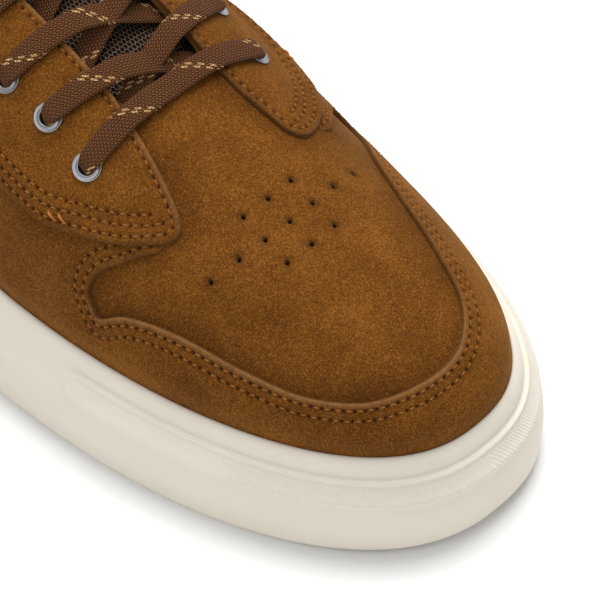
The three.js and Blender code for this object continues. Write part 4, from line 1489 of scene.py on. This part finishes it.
def skin_frame(flat, offset):
    """Places on the skin and the direction that it faces there."""
    step = 0.4
    place = fold(flat, offset)
    u = fold(flat + (step, 0), offset) - fold(flat - (step, 0), offset)
    v = fold(flat + (0, step), offset) - fold(flat - (0, step), offset)
    normal = np.cross(u, v)
    return place, normal / np.linalg.norm(normal, axis=1)[:, None]


def thread_bead(length, radius):
    """One stitch: a short thread that arches out of one needle hole and into the next."""
    rings, corners = 7, 6
    points = [(-0.5, 0, -0.9)]
    for k in range(rings):
        t = (k + 0.5) / rings
        thick = math.sin(math.pi * t) ** 0.5
        rise = 1.1 * math.sin(math.pi * t) - 0.75
        for j in range(corners):
            turn = 2 * math.pi * j / corners
            points.append((t - 0.5, thick * math.cos(turn), rise + thick * math.sin(turn)))
    points.append((0.5, 0, -0.9))
    points = np.array(points) * (length, radius, radius)
    last = len(points) - 1
    faces = [
        ring_faces(rings, corners, 1),
        np.array([(0, 1 + (j + 1) % corners, 1 + j) for j in range(corners)]),
        np.array([(last, last - corners + j, last - corners + (j + 1) % corners) for j in range(corners)]),
    ]
    return points, faces


def repeat_tree():
    """Geometry Nodes: sets a shape at each point, turned to the point's facing and heading."""
    tree = bpy.data.node_groups.new("set_on_points", "GeometryNodeTree")
    tree.interface.new_socket("Geometry", in_out="INPUT", socket_type="NodeSocketGeometry")
    tree.interface.new_socket("Shape", in_out="INPUT", socket_type="NodeSocketObject")
    tree.interface.new_socket("Finish", in_out="INPUT", socket_type="NodeSocketMaterial")
    tree.interface.new_socket("Length Variation", in_out="INPUT", socket_type="NodeSocketFloat")
    tree.interface.new_socket("Seed", in_out="INPUT", socket_type="NodeSocketInt")
    tree.interface.new_socket("Geometry", in_out="OUTPUT", socket_type="NodeSocketGeometry")
    given = node(tree, "NodeGroupInput").outputs
    facing = node(tree, "GeometryNodeInputNamedAttribute", {"Name": "facing"}, data_type="FLOAT_VECTOR")
    heading = node(tree, "GeometryNodeInputNamedAttribute", {"Name": "heading"}, data_type="FLOAT_VECTOR")
    turn = node(tree, "FunctionNodeAxesToRotation", {0: facing.outputs[0], 1: heading.outputs[0]})
    turn.primary_axis, turn.secondary_axis = "Z", "X"
    shape = node(tree, "GeometryNodeObjectInfo", {"Object": given["Shape"]})
    shortest = formula(tree, "SUBTRACT", 1.0, given["Length Variation"])
    length = node(tree, "FunctionNodeRandomValue", {2: shortest, 3: 1.0, "Seed": given["Seed"]})
    size = node(tree, "ShaderNodeCombineXYZ", {"X": length.outputs[1], "Y": 1.0, "Z": 1.0})
    copies = node(tree, "GeometryNodeInstanceOnPoints", {
        "Points": given["Geometry"], "Instance": shape.outputs["Geometry"],
        "Rotation": turn.outputs[0], "Scale": size.outputs[0],
    })
    real = node(tree, "GeometryNodeRealizeInstances", {"Geometry": copies.outputs[0]})
    finished = node(tree, "GeometryNodeSetMaterial", {
        "Geometry": real.outputs[0], "Material": given["Finish"],
    })
    node(tree, "NodeGroupOutput", {0: finished.outputs[0]})
    return tree


set_on_points = repeat_tree()


def set_shape(name, shape, places, facing, heading, finish, variation=0.0, seed=1):
    """A plain mesh of one shape set at every place."""
    mesh = bpy.data.meshes.new(name + "_points")
    mesh.from_pydata((places * MM).tolist(), [], [])
    for label, values in (("facing", facing), ("heading", heading)):
        mesh.attributes.new(label, "FLOAT_VECTOR", "POINT").data.foreach_set("vector", values.ravel())
    carrier = bpy.data.objects.new(name + "_points", mesh)
    bpy.context.scene.collection.objects.link(carrier)
    modifier = carrier.modifiers.new("set_on_points", "NODES")
    modifier.node_group = set_on_points
    items = set_on_points.interface.items_tree
    sockets = {item.name: item.identifier for item in items if item.in_out == "INPUT"}
    modifier[sockets["Shape"]] = shape
    modifier[sockets["Finish"]] = finish
    modifier[sockets["Length Variation"]] = variation
    modifier[sockets["Seed"]] = seed
    bpy.context.view_layer.update()
    graph = bpy.context.evaluated_depsgraph_get()
    made = bpy.data.meshes.new_from_object(carrier.evaluated_get(graph), depsgraph=graph)
    made.name = name
    bpy.data.objects.remove(carrier)
    piece = bpy.data.objects.new(name, made)
    bpy.context.scene.collection.objects.link(piece)
    return piece


def shape_object(name, points, faces):
    """A shape to be set on points, kept out of the scene itself."""
    thing = make_piece(name, points, faces, waxed_thread)
    bpy.context.scene.collection.objects.unlink(thing)
    return thing


def thread_material(name, deep, light, relief):
    """A twisted thread of two colours, and how strongly its twist stands out."""
    material, tree, surface = new_material(name)
    twist = noise(tree, object_place(tree), 1500.0, 1.0)
    tree.links.new(blend(tree, twist, deep, light), surface.inputs["Base Color"])
    bump = node(tree, "ShaderNodeBump", {"Height": twist, "Strength": relief, "Distance": 0.0002})
    tree.links.new(bump.outputs[0], surface.inputs["Normal"])
    surface.inputs["Roughness"].default_value = 0.7
    surface.inputs["Specular IOR Level"].default_value = 0.1
    return material


waxed_thread = thread_material("waxed_thread", thread_tan, thread_pale, 0.6)
thread_shape = shape_object("thread_bead", *thread_bead(stitch_pitch * thread_span, thread_radius))


def sew(name, rows, level_at):
    """Threads along rows of needle places, on a surface whose offset is given as a function."""
    places, facings, headings = [], [], []
    for needles in rows:
        middle = (needles[:-1] + needles[1:]) / 2
        place, normal = skin_frame(middle, level_at(middle) - stitch_groove)
        ends = fold(needles, level_at(needles) - stitch_groove)
        heading = ends[1:] - ends[:-1]
        places.append(place)
        facings.append(normal)
        headings.append(heading / np.linalg.norm(heading, axis=1)[:, None])
    piece = set_shape(
        name, thread_shape, np.vstack(places), np.vstack(facings), np.vstack(headings), waxed_thread,
        thread_variation, thread_seed,
    )
    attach(piece, "root")


def nap_and_light_facing(flat, line, gap):
    """How far the cut edge next to each point faces the heel, the way the nap is brushed and the light
    comes from; it sets painted light and painted shade on raw edges.
    """
    nearest = np.empty(len(flat), int)
    for first in range(0, len(flat), 2000):
        some = flat[first:first + 2000, None] - line[None]
        nearest[first:first + 2000] = (some ** 2).sum(2).argmin(1)
    run = np.gradient(line, axis=0)
    run /= np.maximum(np.linalg.norm(run, axis=1), 1e-9)[:, None]
    beside = np.stack([-run[:, 1], run[:, 0]], 1)[nearest]
    near = (gap > 0.3) & (gap < 1.5)
    inward = np.sign(((flat - line[nearest])[near] * beside[near]).sum())
    facing = -inward * (beside * nap_and_light_heading).sum(1)
    return smooth(0.5 + 0.9 * facing)


def overlay(name, outline, holes, cut_edge, full_top, under, rows, node_name):
    """A suede overlay with a raw edge, stitch grooves and needle holes, with painted light and shade on its
    raw edge and painted shade in its grooves and holes.
    """
    needles = np.vstack(rows)
    flat, triangles = triangulate(outline, holes, overlay_spacing, list(overlay_rows_in), rosette(needles))
    edge_gap = to_line(flat, cut_edge, closed=False)
    band = 1 - smooth(edge_gap / raw_band)
    fall = 1 - np.sqrt(1 - (1 - np.clip(edge_gap / overlay_round, 0, 1)) ** 2)
    groove = groove_at(flat, rows)
    pierced = pierced_at(flat, needles)
    ragged = np.random.default_rng(5).normal(0, ragged_by, len(flat)) * band
    top_offset = full_top(flat) - overlay_fall * fall + ragged
    top = fold(flat, top_offset - stitch_groove * groove - needle_depth * pierced)
    bottom = fold(flat, under(flat))
    points, faces, _ = wrap_layer(top, bottom, triangles, (0.12, 0.5))
    piece = make_piece(name, points, faces, suede)
    brushed = nap_and_light_facing(flat, cut_edge, edge_gap)
    # Raw edge colour, with painted light added on edges that face the heel.
    raw_and_lit_top = band * (0.2 + 0.6 * brushed)
    rest = len(points) - len(flat)
    raw = np.concatenate([raw_and_lit_top, np.full(rest, 0.4)])
    # Painted shade: needle holes, cut edges that face the toe, and the overlay's cut sides.
    painted_shade_top = np.maximum(np.clip(1.6 * pierced, 0, 1), 0.3 * band * (1 - brushed))
    dark = np.concatenate([painted_shade_top, np.full(rest, 0.5)])
    # Painted shade in the stitch grooves.
    shade = np.concatenate([0.25 * groove, np.zeros(rest)])
    mark(piece, raw, dark, shade)
    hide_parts(node_name)
    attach(piece, "root")


def rim_run(first_ray, last_ray, side, tuck):
    """Flat pattern points below the rim along one side, from ray to ray."""
    ray = np.arange(min(first_ray, last_ray), max(first_ray, last_ray) + 0.25, ray_step)
    if first_ray > last_ray:
        ray = ray[::-1]
    sides = np.full(len(ray), side)
    hub = np.stack(hub_of(ray), 1)
    return hub + np.stack(heading_of(ray, sides), 1) * (skin_arc(sides, ray) + tuck)[:, None]


def eyestay_parts(side):
    """Inner edge from the collar to the tip, then the lower edge from the tip to its end."""
    below = []
    for line in eyestay_edges[side]:
        height = form_height(line[:, 0], line[:, 1], 0.0)
        below.append(line[(height < collar_height(line[:, 1]) - 1) | (line[:, 1] < lining_front_y)])
    return below


def eyestay_outline(side):
    inner, outer = eyestay_parts(side)
    inner_flat, outer_flat = lay_flat(inner, overlay_top), lay_flat(outer, overlay_top)
    edge = collar_lines[side]
    beside_throat = np.abs(fold(edge, 0.0)[:, 0]) > throat_width / 2 + 0.5
    edge = edge[(edge[:, 1] < eyestay_end_y - 0.5) & beside_throat]
    lowered = lower_down(edge, eyestay_below_collar)
    loop = even_steps(np.vstack([inner_flat, outer_flat, lowered[::-1]]), 0.55, closed=True)
    return loop, inner_flat, outer_flat


mudguard_end_y = length_at(notch[0][1])
mudguard_foot = np.vstack([
    rim_run(mudguard_end_y, ray_first, 1, foot_tuck),
    rim_run(ray_first, mudguard_end_y, -1, foot_tuck),
])
mudguard_loop = even_steps(np.vstack([mudguard_edge, mudguard_foot]), 0.55, closed=True)
mudguard_cut = even_steps(np.vstack([mudguard_foot[-1:], mudguard_edge, mudguard_foot[:1]]), 0.55)
stay_loops = {side: eyestay_outline(side)[0] for side in (-1, 1)}
hidden_edge = [mudguard_edge[inside(mudguard_edge, loop)] for loop in stay_loops.values()]
mudguard_rows = []
for distance in mudguard_rows_at:
    line = row_beside(mudguard_cut[::-1], distance)
    for run in visible_runs(line, mudguard_cut, distance, stay_loops.values()):
        mudguard_rows.append(needles_along(run, overlay_top))


def mudguard_top(flat):
    """Offset of the mudguard's top, which is pared to a thin edge under the eyestays."""
    paring = np.ones(len(flat))
    for line in hidden_edge:
        paring = np.minimum(paring, smooth(to_spots(flat, line) / paring_width))
    thin = overlay_under + pared_edge
    return thin + (pressed(flat, overlay_top) - overlay_under - pared_edge) * paring


overlay(
    "suede_mudguard", mudguard_loop, [], mudguard_cut, mudguard_top,
    lambda flat: np.full(len(flat), overlay_under), mudguard_rows, "mudguard",
)
sew("mudguard_stitches", mudguard_rows, mudguard_top)

# Eyestays
# A suede overlay on each side of the throat, sewn over the vamp and the mudguard's ends with one row
# along the throat and three rows along its lower edge. Six eyelet holes are punched in each.
eyestay_edge_row = 1.8
eyestay_lower_rows = (4.2, 6.5)
eyestay_climb = 3.2
bartack_spots = ((39.3, -40.3), (38.5, -43.0))
bartack_lean = 0.7
bartack_length = 3.0
bartack_radius = 0.42
row_to_end = 1.3
bartack_deep = (0.27, 0.085, 0.018, 1)
bartack_light = (0.46, 0.165, 0.04, 1)


def mudguard_under(flat):
    """How far the mudguard under an eyestay lifts it."""
    within = inside(flat, mudguard_loop)
    depth = np.where(within, to_line(flat, mudguard_edge, closed=False), 0)
    return mudguard_top(flat) * smooth(depth / eyestay_climb)


def stay_top(flat):
    return overlay_top + mudguard_under(flat)


def stay_under(flat):
    return overlay_under + mudguard_under(flat)


bright_thread = thread_material("bright_thread", bartack_deep, bartack_light, 0.0)
bartack_shape = shape_object("bartack_bead", *thread_bead(bartack_length, bartack_radius))
for side, side_name in ((-1, "lateral"), (1, "medial")):
    loop, inner_flat, outer_flat = eyestay_outline(side)
    spots = [spot for spot in eyelet_flat if (spot[0] < 0) == (side < 0)]
    holes = [circle(spot, eyelet_hole_radius, hole_corners) for spot in spots]
    cut_edge = even_steps(np.vstack([inner_flat, outer_flat]), 0.5)
    around_tip = row_beside(cut_edge, side * eyestay_edge_row)
    around_tip = around_tip[inside(around_tip, loop) & (to_line(around_tip, loop) > row_to_end)]
    rows = [run[:-4] for run in visible_runs(around_tip, cut_edge, eyestay_edge_row)]
    for distance in eyestay_lower_rows:
        lower = row_beside(even_steps(outer_flat, 0.6), side * distance)
        away = to_line(lower, even_steps(inner_flat, 0.6), closed=False) > eyestay_edge_row + 1
        away &= inside(lower, loop) & (to_line(lower, loop) > row_to_end)
        rows += visible_runs(lower[away & (lower[:, 1] < eyestay_end_y - 2)], cut_edge, distance)
    rows = [needles_along(line, overlay_top) for line in rows]
    overlay(
        f"suede_eyestay_{side_name}", loop, holes, cut_edge, stay_top, stay_under, rows,
        f"eyestay_{side_name}",
    )
    sew(f"eyestay_stitches_{side_name}", rows, stay_top)
    middles = lay_flat([(side * x, y) for x, y in bartack_spots], overlay_top)
    places, facings = skin_frame(middles, stay_top(middles))
    headings = np.tile((side * bartack_lean, -1.0, 0.0), (len(places), 1))
    headings -= facings * (headings * facings).sum(1)[:, None]
    bartack = set_shape(f"bartack_{side_name}", bartack_shape, places, facings, headings, bright_thread)
    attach(bartack, "root")

# Heel counter
# A suede overlay around the back that stiffens the heel. Its leaning front edges are stitched to the
# quarters with two rows, and its foot is pressed behind the foxing like the mudguard's.
counter_front_y = length_at(0.76)
counter_bend_y = length_at(0.8)
counter_bend = 0.55 * back_height
counter_back_y = length_at(0.93)
counter_top = 0.74 * back_height


def counter_height(y):
    """Height of the counter's edge: one curve that leans back from the foxing and levels out."""
    t = np.linspace(0, 1, 60)
    start = (counter_front_y, wall_height + clearance)
    middle = (counter_bend_y, counter_bend)
    end = (counter_back_y, counter_top)
    curve_y = (1 - t) ** 2 * start[0] + 2 * t * (1 - t) * middle[0] + t * t * end[0]
    curve_z = (1 - t) ** 2 * start[1] + 2 * t * (1 - t) * middle[1] + t * t * end[1]
    return np.interp(y, curve_y, curve_z)


counter_edges = [level_edge(side, counter_front_y + 1, counter_height)[0] for side in (-1, 1)]
counter_edge = even_steps(np.vstack([counter_edges[0], counter_edges[1][::-1]]), 0.6)
counter_foot = np.vstack([
    rim_run(counter_front_y + 1, ray_last, 1, foot_tuck),
    rim_run(ray_last, counter_front_y + 1, -1, foot_tuck),
])
counter_loop = even_steps(np.vstack([counter_edge, counter_foot]), 0.55, closed=True)
counter_rows = []
for distance in mudguard_rows_at:
    for run in visible_runs(row_beside(counter_edge, distance), counter_edge, distance):
        counter_rows.append(needles_along(run, overlay_top))


def counter_cover(flat):
    return pressed(flat, overlay_top)


overlay(
    "suede_heel_counter", counter_loop, [], counter_edge, counter_cover,
    lambda flat: np.full(len(flat), overlay_under), counter_rows, "heel_counter",
)
sew("counter_stitches", counter_rows, counter_cover)

# Row along the collar
# One row of the same thread runs around the collar below its folded edge, behind the eyestays, and
# holds the lining and its foam to the shell.
sew("collar_stitches", collar_rows, lambda flat: np.zeros(len(flat)))

# Eyelets
# Six rolled metal rings on each side, clinched through the eyestay and the shell. Each has a flat
# flange with a fine raised lip inside and outside, and a barrel that lines the hole.
flange_radius = 3.8
bore_radius = 2.1
barrel_radius = 2.5
barrel_depth = 3.6
eyelet_segments = 48
metal_grey = (0.31, 0.315, 0.32, 1)
ring_profile = (
    (bore_radius, -barrel_depth), (bore_radius, 0.2), (2.16, 0.5), (2.3, 0.68), (2.46, 0.66), (2.62, 0.54),
    (3.2, 0.5), (3.42, 0.54), (3.58, 0.64), (3.72, 0.58), (flange_radius, 0.36), (3.76, 0.12), (3.6, 0.04),
    (2.6, 0.04), (barrel_radius, -0.1), (barrel_radius, -barrel_depth),
)


def ring_shape():
    """The ring profile turned around the eyelet's axis."""
    turn = np.arange(eyelet_segments) / eyelet_segments * 2 * math.pi
    loops = [
        np.stack([radius * np.cos(turn), radius * np.sin(turn), np.full(len(turn), level)], 1)
        for radius, level in ring_profile
    ]
    here = np.arange(eyelet_segments)
    ahead = (here + 1) % eyelet_segments
    last = (len(loops) - 1) * eyelet_segments
    closing = np.stack([last + here, last + ahead, ahead, here], 1)
    return np.vstack(loops), [ring_faces(len(loops), eyelet_segments), closing]


satin_metal, tree, surface = new_material("satin_metal")
gloss = remap(tree, noise(tree, object_place(tree), 900.0, 2.0), (0.0, 1.0), (0.34, 0.5))
tree.links.new(gloss, surface.inputs["Roughness"])
surface.inputs["Base Color"].default_value = metal_grey
surface.inputs["Metallic"].default_value = 1.0
ring = shape_object("eyelet_ring", *ring_shape())
places, facings = skin_frame(eyelet_flat, overlay_top + mudguard_under(eyelet_flat))
headings = np.tile((0.0, 1.0, 0.0), (len(places), 1))
rings = set_shape("eyelet_rings", ring, places, facings, headings, satin_metal)
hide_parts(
    *[f"eyelet_{side}_{row + 1}" for side in ("lateral", "medial") for row in range(eyelet_pairs)],
)
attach(rings, "root")

# Lace
# One flat braid of polyester, 6.3 mm wide, with a pair of light tracer yarns wound around it. The bar lies
# on top at the vamp. Above it each strand comes from under one eyestay and goes down the next eyelet
# on the other side. Both ends stop inside the top eyelets.
lace_width = 6.3
lace_thickness = 1.75
bunched_width = 4.0
bunched_thickness = 2.7
lace_step = 0.7
lace_corners = 28
tracer_period = 21.0
tracer_beat = 2.6
braid_row = 1.1
braid_columns = 20
tracer_apart = 0.07
tracer_half = 0.021
bar_run = 34.5
crossing_run = 9.0
# Dark brown painted as shade in the grooves of the braid.
lace_groove_shade = (0.034, 0.011, 0.0045, 1)
lace_brown = (0.2, 0.08, 0.028, 1)
lace_fleck = (0.8, 0.5, 0.21, 1)
lace_end_x = 23.6
lie_over = 1.42
lie_under = 1.72


def on_form(stops):
    """Places and normals for stops of plan x, plan y, offset and lift along the normal."""
    stops = np.asarray(stops, float)
    x, y, offset = stops[:, 0], stops[:, 1], stops[:, 2]
    step = 0.3
    slope_x = (form_height(x + step, y, offset) - form_height(x - step, y, offset)) / (2 * step)
    slope_y = (form_height(x, y + step, offset) - form_height(x, y - step, offset)) / (2 * step)
    normal = np.stack([-slope_x, -slope_y, np.ones(len(x))], 1)
    normal /= np.linalg.norm(normal, axis=1)[:, None]
    return np.stack([x, y, form_height(x, y, offset)], 1) + normal * stops[:, 3:4], normal


def braid_tube(stops, bunch, start_run):
    """A flat oval tube through stops, narrowed where it bunches in an eyelet, with its own map."""
    places, normals = on_form(stops)
    line = spline(np.hstack([places, normals, np.asarray(bunch, float)[:, None]]), 14)
    line = even_steps(line, lace_step, measured=3)
    centre, normal, tight = line[:, :3], line[:, 3:6], line[:, 6]
    run = np.gradient(centre, axis=0)
    run /= np.linalg.norm(run, axis=1)[:, None]
    whole = centre[-1] - centre[0]
    across = np.cross(whole[None], normal)
    across -= run * (across * run).sum(1)[:, None]
    across /= np.linalg.norm(across, axis=1)[:, None]
    rise = np.cross(across, run)
    turn = np.arange(lace_corners) / lace_corners * 2 * math.pi
    flat_x = np.sign(np.cos(turn)) * np.abs(np.cos(turn)) ** 0.7
    flat_z = np.sign(np.sin(turn)) * np.abs(np.sin(turn)) ** 0.62
    rim_x, rim_z = flat_x * lace_width, flat_z * lace_thickness
    rim = np.concatenate([[0], np.cumsum(np.hypot(np.diff(rim_x), np.diff(rim_z)))])
    share = rim / (rim[-1] + math.hypot(rim_x[0] - rim_x[-1], rim_z[0] - rim_z[-1]))
    width = (lace_width + (bunched_width - lace_width) * tight)[:, None, None] / 2
    thick = (lace_thickness + (bunched_thickness - lace_thickness) * tight)[:, None, None] / 2
    rings_of = centre[:, None] + across[:, None] * flat_x[None, :, None] * width
    rings_of = rings_of + rise[:, None] * flat_z[None, :, None] * thick
    count = len(centre)
    points = rings_of.reshape(-1, 3)
    index = np.arange(lace_corners)
    faces = [ring_faces(count, lace_corners)]
    caps = []
    ends = ((0, len(points), 1), ((count - 1) * lace_corners, len(points) + 1, -1))
    for first, middle, way in ends:
        rim_corners = [first + (index + 1) % lace_corners, first + index]
        caps.append(np.stack([np.full(lace_corners, middle)] + rim_corners, 1)[:, ::way])
    points = np.vstack([points, centre[0], centre[-1]])
    faces.append(np.vstack(caps))
    length = start_run + run_along(centre)
    return points, faces, np.repeat(length, lace_corners), np.tile(share, count)


def store_braid(thing, run, around):
    """The lace's own map: the share around it, and the length along it in millimetres."""
    layer = thing.data.uv_layers.new(name="braid")
    corners = np.empty(len(thing.data.loops), int)
    thing.data.loops.foreach_get("vertex_index", corners)
    values = np.zeros((len(corners), 2))
    values[:, 0] = around[corners]
    values[:, 1] = run[corners]
    sizes = np.empty(len(thing.data.polygons), int)
    thing.data.polygons.foreach_get("loop_total", sizes)
    start = np.concatenate([[0], np.cumsum(sizes)[:-1]])
    for first, size in zip(start, sizes):
        part = values[first:first + size, 0]
        if np.ptp(part) > 0.5:
            part[part < 0.5] += 1.0
    layer.data.foreach_set("uv", values.ravel())


def dive(side, x, going_in):
    """Stops of a lace that comes over an eyelet's flange and turns down into its bore."""
    stops = [
        (side * (x - 3.2), overlay_top, 1.6),
        (side * (x - 1.3), overlay_top, 1.75),
        (side * (x - 0.1), overlay_top, 0.8),
        (side * (x + 0.3), overlay_top, -1.0),
        (side * (x + 0.3), overlay_top, -3.2),
    ]
    tight = [0.1, 0.3, 0.7, 1.0, 1.0]
    return (stops, tight) if going_in else (stops[::-1], tight[::-1])


eyelet_x = eyelet_span / 2
throat_half = throat_width / 2


def lie(x, rise):
    offset = -upper_wall + rise * (upper_wall + overlay_top)
    return (x, offset, rise * (lie_over + lie_under) - lie_under)


def between(start, end, stops):
    """Stops measured across the shoe, moved so that they run from one eyelet to another."""
    moved = []
    for x, offset, lift in stops:
        share = (x * np.sign(end[0]) + eyelet_x) / eyelet_span
        spot = start + (end - start) * share
        moved.append((spot[0], spot[1], offset, lift))
    return moved


def bar_stops():
    out, out_tight = dive(1, eyelet_x, True)
    back_in, back_tight = dive(-1, eyelet_x, False)
    middle_x = np.array([-lace_end_x, -20, -17, -14, -7, 0, 7, 14, 17, 20, lace_end_x])
    middle = [lie(x, 1 - 0.25 * (1 - smooth(abs(x) / throat_half))) for x in middle_x]
    stops = between(eyelet_spot(-1, 0), eyelet_spot(1, 0), back_in + middle + out)
    return stops, back_tight + [0.1] + [0] * 9 + [0.1] + out_tight


def crossing_stops(side, row):
    """A strand from under one eyestay over to the next eyelet on the other side."""
    start = [(-eyelet_x, -1.6), (-eyelet_x + 0.1, -3.6), (-eyelet_x + 1.2, -5.0)]
    stops = [(-side * x, overlay_top, lift) for x, lift in start]
    tight = [1.0, 1.0, 0.8]
    middle_x = [-lace_end_x, -20, 2 - throat_half, -7, 0, 7]
    middle_x += [throat_half - 4, throat_half, 17, 20, lace_end_x]
    for out in middle_x:
        rise = smooth((out + throat_half - 2) / (2 * throat_half - 6))
        stops.append(lie(-side * out, float(rise)))
        tight.append(0.25 if out == -lace_end_x else 0.1 if out == lace_end_x else 0.0)
    end, end_tight = dive(-side, eyelet_x, True)
    return between(eyelet_spot(side, row), eyelet_spot(-side, row + 1), stops + end), tight + end_tight


braid, tree, surface = new_material("braided_lace")
own_map = node(tree, "ShaderNodeUVMap", uv_map="braid")
parts = node(tree, "ShaderNodeSeparateXYZ", {0: own_map.outputs[0]})


def woven(operation, *values):
    return formula(tree, operation, *values)


around, along_lace = parts.outputs["X"], parts.outputs["Y"]
column = woven("MULTIPLY", around, float(braid_columns))
in_column = woven("SUBTRACT", woven("FRACT", column), 0.5)
parity = woven("MODULO", woven("FLOOR", column), 2.0)
lean = woven("SUBTRACT", woven("MULTIPLY", parity, 2.0), 1.0)
slant = woven("MULTIPLY", woven("MULTIPLY", lean, in_column), 0.85)
in_row = woven("ADD", woven("DIVIDE", along_lace, braid_row), slant)
phase = woven("ADD", in_row, woven("MULTIPLY", parity, 0.5))
wave = woven("COSINE", woven("MULTIPLY", phase, 2 * math.pi))
float_height = woven("POWER", woven("MULTIPLY_ADD", wave, 0.5, 0.5), 0.85)
edge_fall = woven("POWER", woven("COSINE", woven("MULTIPLY", in_column, math.pi)), 0.7)
yarn_height = woven("MULTIPLY", float_height, edge_fall)
winding = woven("ADD", around, woven("DIVIDE", along_lace, tracer_period))
flecks = []
for shift, step in ((0.0, 0.0), (tracer_apart, 0.5)):
    turn_gap = woven("SUBTRACT", woven("FRACT", woven("ADD", winding, 0.5 + shift)), 0.5)
    near = woven("LESS_THAN", woven("ABSOLUTE", turn_gap), tracer_half)
    beat = woven("FRACT", woven("ADD", woven("DIVIDE", along_lace, tracer_beat), step))
    flecks.append(woven("MULTIPLY", near, woven("LESS_THAN", beat, 0.52)))
fleck = woven("MAXIMUM", *flecks)
# Painted shade: the braid is darker in the grooves between its yarn floats, and the tracer flecks are
# dimmed there too.
bright = woven("MULTIPLY", fleck, woven("MULTIPLY_ADD", yarn_height, 0.7, 0.3))
tone = blend(tree, bright, blend(tree, yarn_height, lace_groove_shade, lace_brown), lace_fleck)
bump = node(tree, "ShaderNodeBump", {"Height": yarn_height, "Strength": 0.9, "Distance": 0.00035})
tree.links.new(tone, surface.inputs["Base Color"])
tree.links.new(bump.outputs[0], surface.inputs["Normal"])
surface.inputs["Roughness"].default_value = 0.8
surface.inputs["Specular IOR Level"].default_value = 0.12


def lace_piece(name, strands, node_name, start_run):
    points, faces, runs, arounds, first = [], [], [], [], 0
    for stops, bunch in strands:
        some, some_faces, run, around_of = braid_tube(stops, bunch, start_run)
        points.append(some)
        faces.extend(face + first for face in some_faces)
        runs.append(np.concatenate([run, [run[0], run[-1]]]))
        arounds.append(np.concatenate([around_of, [0, 0]]))
        first += len(some)
    piece = make_piece(name, np.vstack(points), faces, braid)
    store_braid(piece, np.concatenate(runs), np.concatenate(arounds))
    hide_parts(node_name)
    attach(piece, "root")


lace_piece("braid_bar", [bar_stops()], "lace_bar", bar_run)
for row in range(eyelet_pairs - 1):
    strands = [crossing_stops(-1, row), crossing_stops(1, row)]
    lace_piece(f"braid_crossing_{row + 1}", strands, f"lace_crossing_{row + 1}", crossing_run * (row + 1))
